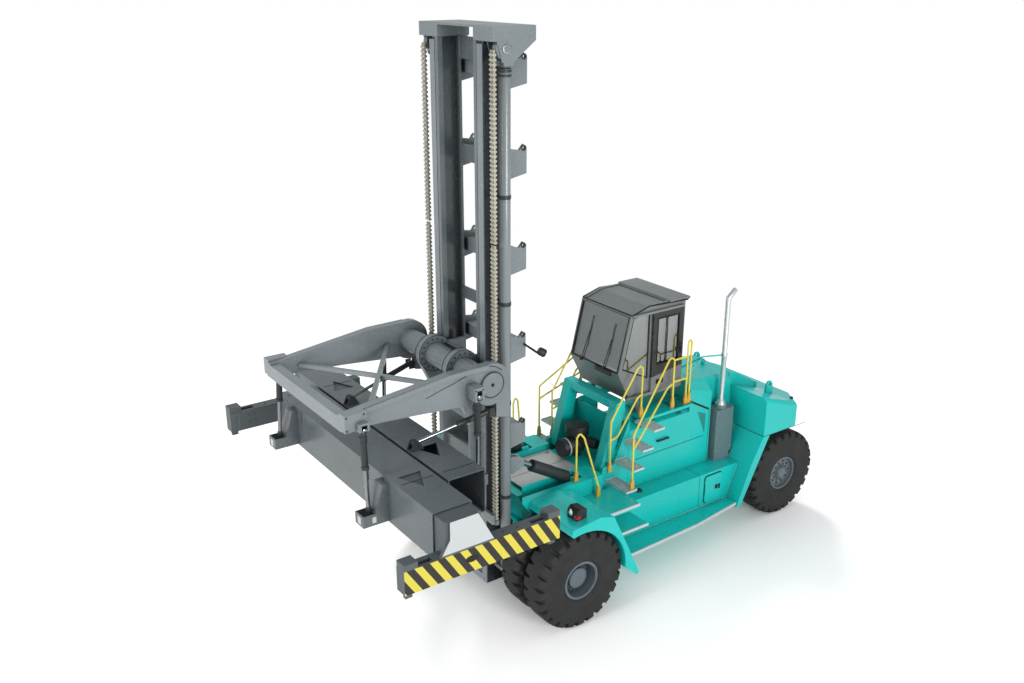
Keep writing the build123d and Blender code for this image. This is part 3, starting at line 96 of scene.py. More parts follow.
def new_material(name):
    """An empty material and its tree."""
    material = bpy.data.materials.new(name)
    material.use_nodes = True
    material.node_tree.nodes.clear()
    return material, material.node_tree


def surfaced(material, shader):
    """The material, with its shader joined to its output."""
    add(material.node_tree, "ShaderNodeOutputMaterial", {"Surface": shader})
    return material


# Patterns, all on Object coordinates

def noise(tree, size_mm, detail=3.0, rough=0.5):
    """Soft noise whose patches are about that size."""
    place = add(tree, "ShaderNodeTexCoord").outputs["Object"]
    inputs = {"Vector": place, "Scale": 1000.0 / size_mm, "Detail": detail, "Roughness": rough}
    return add(tree, "ShaderNodeTexNoise", inputs)


def patches(tree, size_mm, detail, low=0.0, high=1.0, thin=0.3, thick=0.7, rough=0.5):
    """A value that wanders between two limits, in soft patches of about that size."""
    inputs = {"Value": noise(tree, size_mm, detail, rough), "From Min": thin, "From Max": thick,
              "To Min": low, "To Max": high}
    return add(tree, "ShaderNodeMapRange", inputs)


def drifting(tree, light, dark, size_mm, detail):
    """Colour that drifts between two tones, in soft patches of about that size."""
    inputs = {0: patches(tree, size_mm, detail), 6: srgb(dark), 7: srgb(light)}
    return add(tree, "ShaderNodeMix", inputs, data_type="RGBA").outputs[2]


def grained(tree, size_mm, depth_mm, detail=3.0):
    """Normal of a fine grain of that size and depth."""
    return add(tree, "ShaderNodeBump", {"Height": noise(tree, size_mm, detail), "Distance": depth_mm * MM})


def painted_corner_shade(tree, reach, tight, clear, most):
    """Share of painted shade that grows where a corner shuts out the open air."""
    open_air = add(tree, "ShaderNodeAmbientOcclusion", {"Distance": reach}, samples=6).outputs["AO"]
    inputs = {"Value": open_air, "From Min": tight, "From Max": clear, "To Min": most, "To Max": 0.0}
    return add(tree, "ShaderNodeMapRange", inputs)


# Finishes

# Orange peel of sprayed enamel: size and depth in millimetres, detail
PEEL = (6.0, 0.05, 2.0)
# Slow shift of tone over whole panels: size in millimetres, detail
PANEL_TONE = (1400, 2.0)


def painted_steel(name, light, dark, roughness=0.35, dust_and_shade_tone="000000"):
    """Sprayed enamel on steel: faint orange peel, slow shift of tone, dust in patches, painted shade in
    corners.
    """
    material, tree = new_material(name)
    colour = drifting(tree, light, dark, *PANEL_TONE)
    dust = patches(tree, 260, 6.0, 0.0, 0.12, 0.62, 0.85, 0.7)
    # One dark tone serves both the real dust in patches and the painted shade in the corners
    for dust_and_shade_share in (dust, painted_corner_shade(tree, 0.3, 0.25, 0.8, 0.55)):
        inputs = {0: dust_and_shade_share, 6: colour, 7: srgb(dust_and_shade_tone)}
        colour = add(tree, "ShaderNodeMix", inputs, data_type="RGBA").outputs[2]
    return surfaced(material, add(tree, "ShaderNodeBsdfPrincipled", {
        "Base Color": colour, "Roughness": patches(tree, 300, 5.0, roughness - 0.05, roughness + 0.08),
        "IOR": 1.5, "Coat Weight": 0.15, "Coat Roughness": 0.12, "Normal": grained(tree, *PEEL)}))


def metal(name, light, dark, roughness, grain_mm, depth_mm):
    """Bare metal: tone and gloss drift over the surface, over a fine grain."""
    material, tree = new_material(name)
    return surfaced(material, add(tree, "ShaderNodeBsdfPrincipled", {
        "Base Color": drifting(tree, light, dark, 90, 5.0), "Metallic": 1.0,
        "Roughness": patches(tree, grain_mm, 3.0, roughness - 0.06, roughness + 0.1, 0.25, 0.75),
        "Normal": grained(tree, grain_mm, depth_mm)}))


def moulded(name, light, dark, roughness, grain_mm=3.0, depth_mm=0.2):
    """Moulded rubber or plastic: matt, with a fine leathery grain and faint uneven tone."""
    material, tree = new_material(name)
    return surfaced(material, add(tree, "ShaderNodeBsdfPrincipled", {
        "Base Color": drifting(tree, light, dark, 200, 4.0), "IOR": 1.5,
        "Roughness": patches(tree, 60, 4.0, roughness - 0.06, roughness + 0.06),
        "Normal": grained(tree, grain_mm, depth_mm)}))


def tinted_glass():
    """Laminated safety glass: a faint green tint, a thin veil of haze, and a mirror-like skin."""
    material, tree = new_material("laminated_glass")
    clear = add(tree, "ShaderNodeBsdfTransparent", {"Color": srgb("e6f3ef")})
    haze = add(tree, "ShaderNodeBsdfDiffuse", {"Color": srgb("c2cfcd")})
    veil = patches(tree, 900, 2.0, 0.02, 0.06, 0.35, 0.65)
    pane = add(tree, "ShaderNodeMixShader", {0: veil, 1: clear, 2: haze})
    skin = add(tree, "ShaderNodeBsdfGlossy", {"Color": srgb("ffffff"), "Roughness": 0.02})
    fresnel = add(tree, "ShaderNodeFresnel", {"IOR": 1.5})
    lift = add(tree, "ShaderNodeMapRange", {"Value": fresnel, "To Min": 0.24, "To Max": 0.95})
    return surfaced(material, add(tree, "ShaderNodeMixShader", {0: lift, 1: pane, 2: skin}))


def galvanised():
    """Hot-dip galvanised grating: zinc crystals 22 mm across, dull and bright side by side."""
    material, tree = new_material("galvanised_steel")
    place = add(tree, "ShaderNodeTexCoord").outputs["Object"]
    crystals = add(tree, "ShaderNodeTexVoronoi", {"Vector": place, "Scale": 1000.0 / 22})
    tone = add(tree, "ShaderNodeMapRange", {"Value": crystals.outputs["Color"]})
    inputs = {0: tone, 6: srgb("c3cacc"), 7: srgb("e2e6e7")}
    colour = add(tree, "ShaderNodeMix", inputs, data_type="RGBA").outputs[2]
    gloss = add(tree, "ShaderNodeMapRange", {"Value": tone, "To Min": 0.4, "To Max": 0.6})
    return surfaced(material, add(tree, "ShaderNodeBsdfPrincipled", {
        "Base Color": colour, "Metallic": 0.35, "Roughness": gloss}))


def mast_enamel_with_painted_shade(name, light, dark, shade_tone):
    """Glossy enamel of the mast, with painted shade: dark on the webs behind chains and cylinders where these
    shade them, and darker in corners.
    """
    material, tree = new_material(name)
    place = add(tree, "ShaderNodeTexCoord").outputs["Object"]
    x, y, z = add(tree, "ShaderNodeSeparateXYZ", {0: place}).outputs
    side = add(tree, "ShaderNodeMath", {0: y}, operation="ABSOLUTE")
    # The painted shade lies beyond the web's plane, between the rear and the front flange, and leaves out the
    # brackets
    web_shade = 1.0
    for value, start, end, low, high in ((side, 0.686, 0.689, 0.0, 1.0), (x, 2.17, 2.184, 1.0, 0.0),
                                         (x, 1.71, 1.73, 0.0, 1.0)):
        share = add(tree, "ShaderNodeMapRange", {"Value": value, "From Min": start, "From Max": end,
                                                 "To Min": low, "To Max": high})
        web_shade = add(tree, "ShaderNodeMath", {0: web_shade, 1: share}, operation="MULTIPLY")
    bracket = add(tree, "ShaderNodeMapRange", {"Value": side, "From Min": 0.692, "From Max": 0.70})
    web_shade = add(tree, "ShaderNodeMath", {0: web_shade, 1: bracket}, operation="SUBTRACT", use_clamp=True)
    # Painted shade in corners, joined to the painted shade on the webs
    corners = painted_corner_shade(tree, 0.4, 0.3, 0.85, 0.7)
    share = add(tree, "ShaderNodeMath", {0: web_shade, 1: corners}, operation="MAXIMUM")
    inputs = {0: share, 6: drifting(tree, light, dark, *PANEL_TONE), 7: srgb(shade_tone)}
    colour = add(tree, "ShaderNodeMix", inputs, data_type="RGBA").outputs[2]
    return surfaced(material, add(tree, "ShaderNodeBsdfPrincipled", {
        "Base Color": colour, "Roughness": patches(tree, 200, 5.0, 0.2, 0.34), "IOR": 1.5,
        "Coat Weight": 0.25, "Coat Roughness": 0.1, "Normal": grained(tree, *PEEL)}))


def split_finish(name, slope, height, above, below):
    """Two finishes, each as (colour, metallic, roughness), that meet at a line sloping down to the front."""
    material, tree = new_material(name)
    place = add(tree, "ShaderNodeTexCoord").outputs["Object"]
    x, y, z = add(tree, "ShaderNodeSeparateXYZ", {0: place}).outputs
    level = add(tree, "ShaderNodeMath", {0: x, 1: slope, 2: z}, operation="MULTIPLY_ADD")
    over = add(tree, "ShaderNodeMath", {0: level, 1: height}, operation="GREATER_THAN")
    inputs = {0: over, 6: srgb(below[0]), 7: srgb(above[0])}
    tint = add(tree, "ShaderNodeMix", inputs, data_type="RGBA").outputs[2]
    inputs = {0: tint, "Scale": patches(tree, 500, 3.0, 0.9, 1.0)}
    colour = add(tree, "ShaderNodeVectorMath", inputs, operation="SCALE")
    shine, base = [add(tree, "ShaderNodeMapRange", {"Value": over, "To Min": below[i], "To Max": above[i]})
                   for i in (1, 2)]
    fine = patches(tree, 120, 4.0, -0.05, 0.07)
    gloss = add(tree, "ShaderNodeMath", {0: base, 1: fine}, operation="ADD")
    return surfaced(material, add(tree, "ShaderNodeBsdfPrincipled", {
        "Base Color": colour, "Metallic": shine, "Roughness": gloss, "IOR": 1.5,
        "Normal": grained(tree, *PEEL)}))


# Warning bands on the end beams: pitch and first edge along X, lean forward per metre of height
BAND_PITCH = 0.225
BAND_START = 0.816
BAND_LEAN = 0.65
BAND_TOP = 2.872
OUTER_SIDE = 3.0385
# Dark oval among the bands: its place and half sizes
OVAL_PLACE = (3.98, 0, 2.715)
OVAL_HALF = (0.1, 0.05)
# Pale gusset over the beam: its foot, its middle along X and its half length
GUSSET_FOOT, GUSSET_X, GUSSET_HALF = 2.90, 3.76, 0.9


def hazard_beam():
    """End beam's enamel: diagonal warning bands round a dark oval on its outer side, grey on the rest."""
    material, tree = new_material("hazard_enamel")
    place = add(tree, "ShaderNodeTexCoord").outputs["Object"]
    x, y, z = add(tree, "ShaderNodeSeparateXYZ", {0: place}).outputs
    slant = add(tree, "ShaderNodeMath", {0: z, 1: -BAND_LEAN, 2: x}, operation="MULTIPLY_ADD")
    inputs = {0: slant, 1: 1 / BAND_PITCH, 2: BAND_START}
    turns = add(tree, "ShaderNodeMath", inputs, operation="MULTIPLY_ADD")
    part = add(tree, "ShaderNodeMath", {0: turns}, operation="FRACT")
    yellow = add(tree, "ShaderNodeMath", {0: part, 1: 0.5}, operation="GREATER_THAN")
    away = add(tree, "ShaderNodeVectorMath", {0: place, 1: OVAL_PLACE}, operation="SUBTRACT")
    inputs = {0: away, 1: (1 / OVAL_HALF[0], 0, 1 / OVAL_HALF[1])}
    shaped = add(tree, "ShaderNodeVectorMath", inputs, operation="MULTIPLY")
    reach = add(tree, "ShaderNodeVectorMath", {0: shaped}, operation="LENGTH").outputs["Value"]
    oval = add(tree, "ShaderNodeMath", {0: reach, 1: 1.0}, operation="LESS_THAN")
    bands = srgb("2a2725")
    for mask, tint in ((yellow, "dfd04a"), (oval, "0c0b0b")):
        bands = add(tree, "ShaderNodeMix", {0: mask, 6: bands, 7: srgb(tint)}, data_type="RGBA").outputs[2]

    side = add(tree, "ShaderNodeMath", {0: y}, operation="ABSOLUTE")
    off_middle = add(tree, "ShaderNodeMath", {0: x, 1: GUSSET_X}, operation="SUBTRACT")
    aside = add(tree, "ShaderNodeMath", {0: off_middle}, operation="ABSOLUTE")
    gusset = ((z, "GREATER_THAN", GUSSET_FOOT), (aside, "LESS_THAN", GUSSET_HALF))
    colour = srgb("565d60")
    for tests, tint in ((gusset, srgb("c9cdce")), (((z, "LESS_THAN", BAND_TOP),), bands)):
        mask = add(tree, "ShaderNodeMath", {0: side, 1: OUTER_SIDE}, operation="GREATER_THAN")
        for value, test, limit in tests:
            passed = add(tree, "ShaderNodeMath", {0: value, 1: limit}, operation=test)
            mask = add(tree, "ShaderNodeMath", {0: mask, 1: passed}, operation="MULTIPLY")
        colour = add(tree, "ShaderNodeMix", {0: mask, 6: colour, 7: tint}, data_type="RGBA").outputs[2]
    return surfaced(material, add(tree, "ShaderNodeBsdfPrincipled", {
        "Base Color": colour, "Roughness": 0.42, "IOR": 1.5, "Normal": grained(tree, *PEEL)}))


# Gloss enamel sprayed on plate: bright clean panels with painted shade in their corners
BODY_ENAMEL = painted_steel("turquoise_enamel", "12cfc8", "10c3bc", 0.3, dust_and_shade_tone="0f6f6c")
# The same enamel in the shade of a recess: a darker patch on the hood's side
SHADED_ENAMEL = painted_steel("shaded_turquoise_enamel", "15918e", "128380", 0.4, dust_and_shade_tone="0a4a4a")
# Gloss enamel on rolled channels: pale grey flanges, and webs made almost black with painted shade behind the
# chains and cylinders
MAST_ENAMEL = mast_enamel_with_painted_shade("grey_enamel", "8b9396", "7c8488", "2b3034")
# The same enamel, darker all over: painted shade on the inner mast, which sits within the outer mast
SHADED_INNER_MAST_ENAMEL = mast_enamel_with_painted_shade("shaded_inner_mast_enamel", "747c80", "666d71", "24292c")
# Enamel sprayed on welded boxes: dark, even and satin
SPREADER_ENAMEL = painted_steel("dark_grey_enamel", "6a7175", "5e6569", 0.27, dust_and_shade_tone="2c3033")
# Stencilled two-colour enamel: hard-edged yellow and near-black bands
HAZARD = hazard_beam()
# Gelcoat on glass fibre: a warm mid grey, slightly soft in its gloss
CAB_GELCOAT = painted_steel("grey_gelcoat", "838888", "777c7d", 0.35)
# Sprayed door: near-black round the glass, grey below a sloping line
DOOR_ENAMEL = split_finish("door_enamel", 0.143, 3.053, ("2c2e2f", 0.0, 0.3), ("7d8283", 0.0, 0.35))
# Gloss enamel on drawn tube: one long sharp highlight
BARREL_ENAMEL = painted_steel("glossy_grey_barrel_enamel", "8d9496", "80888a", 0.16, dust_and_shade_tone="3b4145")
# Enamel on bent tube: light yellow with a soft highlight
RAIL_ENAMEL = painted_steel("yellow_enamel", "f2e25c", "ecd648", 0.35, dust_and_shade_tone="a08a20")
# The rails' enamel over rust primer at their feet: more orange
FOOT_ENAMEL = painted_steel("orange_enamel", "e9b53a", "dda730", 0.38, dust_and_shade_tone="8f6a1c")
# Enamel on pressed wheel discs: blue-grey with painted shade in the corners between rings and bolts
RIM_ENAMEL = painted_steel("blue_grey_enamel", "66737a", "5c686e", 0.4, dust_and_shade_tone="30363a")
RIM_BOLT_ENAMEL = painted_steel("dark_rim_bolt_enamel", "4e585d", "434c51", 0.4, dust_and_shade_tone="20262a")
# Bare stainless pipe over a painted can: bright above, dull blue-grey below
MUFFLER_SHEET = split_finish("exhaust_sheet", 0.0, 2.36, ("e4e8ea", 1.0, 0.42), ("6d8286", 0.1, 0.5))
# Chromated plates: pale straw-coloured links with brown shadows between them
CHAIN_STEEL = painted_steel("chromated_chain_steel", "cfccbb", "b5b1a0", 0.4, dust_and_shade_tone="5d5745")
# Rolled plates and edge strips in pale enamel: matt, nearly white, with grey scuffs and painted grey shade in
# their corners
ALLOY_PLATE = painted_steel("pale_deck_plate_enamel", "d2d2cf", "c4c4c1", 0.5, dust_and_shade_tone="77797a")
PALE_STRIP = painted_steel("pale_grey_edge_enamel", "d3d8da", "c4cacc", 0.45, dust_and_shade_tone="8a9092")
# Vulcanised rubber: matt, dark and slightly uneven
RUBBER = moulded("tyre_rubber", "2b2b2b", "222222", 0.7, 4.0, 0.3)
# Injection-moulded ABS: black with a soft sheen
BLACK_ABS = moulded("black_abs", "2a2d2e", "202324", 0.45)
# Sand-cast steel under black paint: coarse skin, dull sheen
CAST_STEEL = moulded("black_cast_steel", "34383a", "292c2e", 0.45, 8.0, 0.4)
# Moulded trim of the cab: mid grey and matt
TRIM = moulded("grey_trim", "8d9192", "7f8384", 0.6)
# Extruded EPDM: a dead black line
SEAL = moulded("black_epdm_seal", "141515", "0e0f0f", 0.75, 2.0, 0.05)
# Floor of a deep slot, where no light comes: flat black
DARK_VOID = moulded("unlit_recess", "050606", "040404", 0.95, 3.0, 0.05)
# Moulded acrylic: saturated red with a sharp highlight
RED_LENS = moulded("red_acrylic_lens", "d8201c", "b91a18", 0.18, 6.0, 0.1)
# Woven seat cloth: dark and dry; its 3 mm grain is coarser than the threads, so that it shows
WEAVE = moulded("seat_fabric", "2e3133", "232628", 0.85, 3.0, 0.4)
# Ground and hard-chromed rod: darkly mirroring
CHROME = metal("hard_chrome", "a4a8aa", "90959a", 0.14, 2.0, 0.01)
# Zinc-plated screws and pins: light grey, half matt
ZINC = metal("zinc_plated_steel", "c9cccb", "aeb3b3", 0.3, 3.0, 0.02)
# Vapour-coated reflector: almost white and mirror-like
LAMP_REFLECTOR = metal("lamp_reflector", "f4f6f7", "dfe4e6", 0.08, 6.0, 0.02)
GALVANISED = galvanised()
GLASS = tinted_glass()

SLOT_FINISH = {
    "tyre": RUBBER, "rim": RIM_ENAMEL, "body_paint": BODY_ENAMEL, "mast_paint": MAST_ENAMEL,
    "running_gear": CAST_STEEL, "spreader_paint": SPREADER_ENAMEL, "hazard_paint": HAZARD,
    "chain": CHAIN_STEEL,
    "cab_paint": CAB_GELCOAT, "door_paint": DOOR_ENAMEL, "glass": GLASS, "interior": TRIM,
    "rail_paint": RAIL_ENAMEL, "galvanised": GALVANISED, "exhaust_metal": MUFFLER_SHEET,
    "black_plastic": BLACK_ABS, "lamp": BLACK_ABS, "engine": CAST_STEEL, "chrome": CHROME,
}
SLOT_OF = {}
for node_name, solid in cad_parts.items():
    for place in solid.material_slots:
        SLOT_OF[node_name] = place.material.name.split(".")[0]
        place.material = SLOT_FINISH[SLOT_OF[node_name]]
NODE_FINISH = {"lift_barrels": BARREL_ENAMEL, "mast_inner": SHADED_INNER_MAST_ENAMEL}
for node_name, finish in NODE_FINISH.items():
    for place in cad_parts[node_name].material_slots:
        place.material = finish


# Forms: every one is built in metres from the machine's own millimetres, counted from its front axle

SHIFT = 1299.5
UP, LEFT, AHEAD = (0, 0, 1), (0, 1, 0), (1, 0, 0)
SIDES = ((1, "left"), (-1, "right"))

# Main places of the machine, in millimetres
WHEELBASE = 5440
BODY_SIDE, TANK_SIDE, BOARD_SIDE = 800, 1200, 1700
TANK_TOP, DECK_TOP, PLATFORM_TOP = 1290, 1757, 2630
PIVOT_X, PIVOT_Z = 1140, 4180
SPREADER_X = 2460


def at(x, y, z):
    """A place in metres from the machine's millimetres."""
    return Vector(((x + SHIFT) * MM, y * MM, z * MM))


def prism_in(form, outline, sweep):
    """Closed prism from a flat outline of places and a sweep in millimetres."""
    step = Vector(sweep) * MM
    low = [form.verts.new(place) for place in outline]
    high = [form.verts.new(place + step) for place in outline]
    form.faces.new(low)
    form.faces.new(high[::-1])
    for i in range(len(low)):
        j = (i + 1) % len(low)
        form.faces.new((low[i], high[i], high[j], low[j]))


def box_in(form, x0, x1, y0, y1, z0, z1):
    """Box between two corners."""
    prism_in(form, [at(x0, y0, z0), at(x1, y0, z0), at(x1, y1, z0), at(x0, y1, z0)], (0, 0, z1 - z0))


def plate_in(form, outline, y0, y1):
    """Plate from (x, z) points between two Y planes."""
    prism_in(form, [at(x, y0, z) for x, z in outline], (0, y1 - y0, 0))


def turned_in(form, profile, start, axis, sides=32):
    """Form turned about an axis from (radius, distance) points in millimetres, closed at the axis."""
    axis = Vector(axis).normalized()
    across = axis.orthogonal().normalized()
    other = axis.cross(across)
    rings = []
    for radius, distance in profile:
        centre = start + axis * distance * MM
        if radius == 0:
            rings.append([form.verts.new(centre)])
            continue
        turns = [2 * math.pi * i / sides for i in range(sides)]
        rings.append([form.verts.new(centre + (across * math.cos(t) + other * math.sin(t)) * radius * MM)
                      for t in turns])
    for one, two in zip(rings, rings[1:]):
        for i in range(sides):
            j = (i + 1) % sides
            corners = [one[i % len(one)], one[j % len(one)], two[j % len(two)], two[i % len(two)]]
            form.faces.new(list(dict.fromkeys(corners)))


def rod_in(form, start, end, radius, sides=20, chamfer=2.0):
    """Round bar between two places, with chamfered ends."""
    length = (end - start).length / MM
    profile = [(0, 0), (radius - chamfer, 0), (radius, chamfer), (radius, length - chamfer),
               (radius - chamfer, length), (0, length)]
    turned_in(form, profile, start, end - start, sides)


def ring_in(form, centre, axis, inner, outer, thick, sides=48):
    """Flat ring with softened rims."""
    soft = min(thick, outer - inner) * 0.2
    turns = [(inner, 0), (outer - soft, 0), (outer, soft), (outer, thick - soft), (outer - soft, thick),
             (inner, thick), (inner, 0)]
    turned_in(form, turns, centre, axis, sides)


def mirrored(form):
    """The same on the other side of the machine."""
    geometry = form.verts[:] + form.edges[:] + form.faces[:]
    made = bmesh.ops.duplicate(form, geom=geometry)["geom"]
    for vert in made:
        if isinstance(vert, bmesh.types.BMVert):
            vert.co.y = -vert.co.y
    bmesh.ops.reverse_faces(form, faces=[face for face in made if isinstance(face, bmesh.types.BMFace)])


def piece(name, form, body, material, bevel=0.0, angle=35):
    """A finished object from a form: normals out, smooth where it is round, riding on its body."""
    bmesh.ops.remove_doubles(form, verts=form.verts[:], dist=1e-6)
    bmesh.ops.recalc_face_normals(form, faces=form.faces[:])
    mesh = bpy.data.meshes.new(name)
    form.to_mesh(mesh)
    form.free()
    return finished(name, mesh, body, material, bevel, angle)


def finished(name, mesh, body, material, bevel=0.0, angle=35):
    """An object for a mesh, with its finish and its body."""
    mesh.materials.clear()
    mesh.materials.append(material)
    mesh.shade_smooth()
    mesh.set_sharp_from_angle(angle=math.radians(angle))
    made = bpy.data.objects.new(name, mesh)
    bpy.context.collection.objects.link(made)
    if bevel:
        soften(made, bevel)
    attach(made, body)
    return made


def soften(made, width):
    """Small round edges, so that they catch the light as rolled and ground steel does."""
    rim = made.modifiers.new("round_edges", "BEVEL")
    rim.width = width * MM
    rim.segments = 2
    rim.limit_method = "ANGLE"
    rim.angle_limit = math.radians(40)
    rim.use_clamp_overlap = True
    rim.harden_normals = True


# Repeats by Geometry Nodes

def repeat_tree():
    """Geometry Nodes tree that puts an item on every point, turned and sized by the point's attributes."""
    tree = bpy.data.node_groups.new("repeat", "GeometryNodeTree")
    for label, kind in (("Places", "NodeSocketGeometry"), ("Item", "NodeSocketObject"),
                        ("Finish", "NodeSocketMaterial"), ("Size", "NodeSocketFloat")):
        tree.interface.new_socket(label, in_out="INPUT", socket_type=kind)
    tree.interface.new_socket("Result", in_out="OUTPUT", socket_type="NodeSocketGeometry")
    given = add(tree, "NodeGroupInput")
    item = add(tree, "GeometryNodeObjectInfo", {"Object": given.outputs["Item"]})
    turn = add(tree, "GeometryNodeInputNamedAttribute", {"Name": "turn"}, data_type="FLOAT_VECTOR")
    spin = add(tree, "FunctionNodeEulerToRotation", {0: turn.outputs["Attribute"]})
    size = add(tree, "GeometryNodeInputNamedAttribute", {"Name": "size"}, data_type="FLOAT")
    scale = add(tree, "ShaderNodeMath", {0: size.outputs["Attribute"], 1: given.outputs["Size"]},
                operation="MULTIPLY")
    placed = add(tree, "GeometryNodeInstanceOnPoints", {
        "Points": given.outputs["Places"], "Instance": item.outputs["Geometry"], "Rotation": spin.outputs[0],
        "Scale": scale.outputs[0]})
    real = add(tree, "GeometryNodeRealizeInstances", {"Geometry": placed.outputs[0]})
    dressed = add(tree, "GeometryNodeSetMaterial", {"Geometry": real.outputs[0],
                                                    "Material": given.outputs["Finish"]})
    result = add(tree, "NodeGroupOutput")
    tree.links.new(dressed.outputs[0], result.inputs[0])
    return tree


REPEAT = repeat_tree()


def repeated(name, item, places, body, material, size=1.0):
    """Copies of an item at (place, direction, size) entries, as one piece; its Z turns to the direction."""
    points = bpy.data.meshes.new(name + "_places")
    points.from_pydata([tuple(place) for place, way, scale in places], [], [])
    points.attributes.new("turn", "FLOAT_VECTOR", "POINT")
    points.attributes.new("size", "FLOAT", "POINT")
    for i, (place, way, scale) in enumerate(places):
        points.attributes["turn"].data[i].vector = Vector(way).to_track_quat("Z", "Y").to_euler()
        points.attributes["size"].data[i].value = scale
    holder = bpy.data.objects.new(name + "_places", points)
    bpy.context.collection.objects.link(holder)
    spread = holder.modifiers.new("repeat", "NODES")
    spread.node_group = REPEAT
    values = {"Item": item, "Finish": material, "Size": size}
    for socket in REPEAT.interface.items_tree:
        if socket.in_out == "INPUT" and socket.name in values:
            spread[socket.identifier] = values[socket.name]
    bpy.context.view_layer.update()
    graph = bpy.context.evaluated_depsgraph_get()
    mesh = bpy.data.meshes.new_from_object(holder.evaluated_get(graph))
    mesh.name = name
    bpy.data.objects.remove(holder)
    return finished(name, mesh, body, material)


def item(name, form):
    """A form that repeats are made from; it is deleted once they are made."""
    bmesh.ops.recalc_face_normals(form, faces=form.faces[:])
    mesh = bpy.data.meshes.new(name)
    form.to_mesh(mesh)
    form.free()
    made = bpy.data.objects.new(name, mesh)
    bpy.context.collection.objects.link(made)
    return made


def ring_of(centre, axis, radius, count, scale=1.0, start=0.0):
    """Places round a circle, facing along its axis."""
    axis = Vector(axis).normalized()
    across = axis.orthogonal().normalized()
    other = axis.cross(across)
    places = []
    for i in range(count):
        turn = start + 2 * math.pi * i / count
        way = across * math.cos(turn) + other * math.sin(turn)
        places.append((centre + way * radius * MM, axis, scale))
    return places


def row_of(start, end, count, way, scale=1.0):
    """Places in a row from one place to another."""
    return [(start.lerp(end, i / max(1, count - 1)), way, scale) for i in range(count)]


def on_both(places):
    """Places and their mirror images."""
    far = [(Vector((p.x, -p.y, p.z)), Vector((w[0], -w[1], w[2])), s) for p, w, s in places]
    return places + far


def bolt_item():
    """Hex bolt head 30 mm across on its washer."""
    form = bmesh.new()
    zero = Vector((0, 0, 0))
    turned_in(form, [(0, 0), (17, 0), (17, 3), (15, 3), (15, 12), (12, 14), (0, 14)], zero, (0, 0, 1), 6)
    turned_in(form, [(0, 0), (19, 0), (19, 2.5), (0, 2.5)], zero, (0, 0, 1), 12)
    return item("bolt_item", form)


BOLT = bolt_item()


# Tyres

PITCHES = 24
TYRE_R, TYRE_W = 838.0, 490.0
# Tread section: distance in from the side, radius; then the floor of a notch at the same distance
SECTION = (
    (46, 330, 330), (26, 345, 345), (18, 372, 372), (10, 376, 376), (8, 384, 384), (3, 440, 440),
    (1, 520, 520), (1, 600, 600), (2, 612, 612), (1, 620, 620), (4, 690, 690), (9, 745, 722),
    (17, 790, 735), (34, 817, 748), (60, 831, 757), (100, 837, 775), (140, 838, 797), (172, 838, 838),
    (205, 838, 838))
# Notches fade out at this distance in; half widths at the side and there, and run of the walls, in pitches
NOTCH_END = 172
NOTCH_WIDE, NOTCH_SLIM, NOTCH_WALL = 0.215, 0.09, 0.03
FRONT_OUTER_Y, TWIN_GAP, REAR_OUTER_Y = 2080, 110, 1440


def tyre_in(form, x, outer_y, side):
    """One tyre: smooth sidewalls with two rings, and deep notches on both shoulders, a half pitch apart."""
    pitch = 2 * math.pi / PITCHES
    far = [(TYRE_W - d, r, low) for d, r, low in SECTION[::-1]]
    columns = []
    for centre, where in ((0.0, "far"), (0.5, "near")):
        for offset, low in ((-1, False), (-1, True), (1, True), (1, False)):
            columns.append((centre, offset, low, where))
        columns.append((centre + 0.25, 0, False, None))
    rings = []
    for k in range(PITCHES):
        for centre, offset, low, where in columns:
            ring = []
            for group, points in (("near", SECTION), ("far", far)):
                for d, r, floor in points:
                    inner = min(d, TYRE_W - d)
                    share = max(0.0, min(1.0, 1 - inner / NOTCH_END))
                    half = NOTCH_SLIM + (NOTCH_WIDE - NOTCH_SLIM) * share
                    t = centre + offset * (half - (NOTCH_WALL if low else 0))
                    radius = floor if (low and where == group) else r
                    angle = pitch * (k + t)
                    ring.append(form.verts.new(at(x + radius * math.sin(angle), side * (outer_y - d),
                                                  TYRE_R - radius * math.cos(angle))))
            rings.append(ring)
    for one, two in zip(rings, rings[1:] + rings[:1]):
        for i in range(len(one)):
            j = (i + 1) % len(one)
            form.faces.new((one[i], one[j], two[j], two[i]))


def make_tyres():
    """Six tyres; each piece stands for one tyre node."""
    for side, word in SIDES:
        for name, body, node, x, outer_ys in (
                ("front_tread", "front_wheels", "front_tyres", 0,
                 (FRONT_OUTER_Y, FRONT_OUTER_Y - TYRE_W - TWIN_GAP)),
                ("rear_tread", "rear_wheel", "rear_tyre", -WHEELBASE, (REAR_OUTER_Y,))):
            form = bmesh.new()
            for outer_y in outer_ys:
                tyre_in(form, x, outer_y, side)
            made = piece(f"{name}_{word}", form, f"{body}_{word}", RUBBER, angle=28)
            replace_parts(made, f"{node}_{word}")


make_tyres()


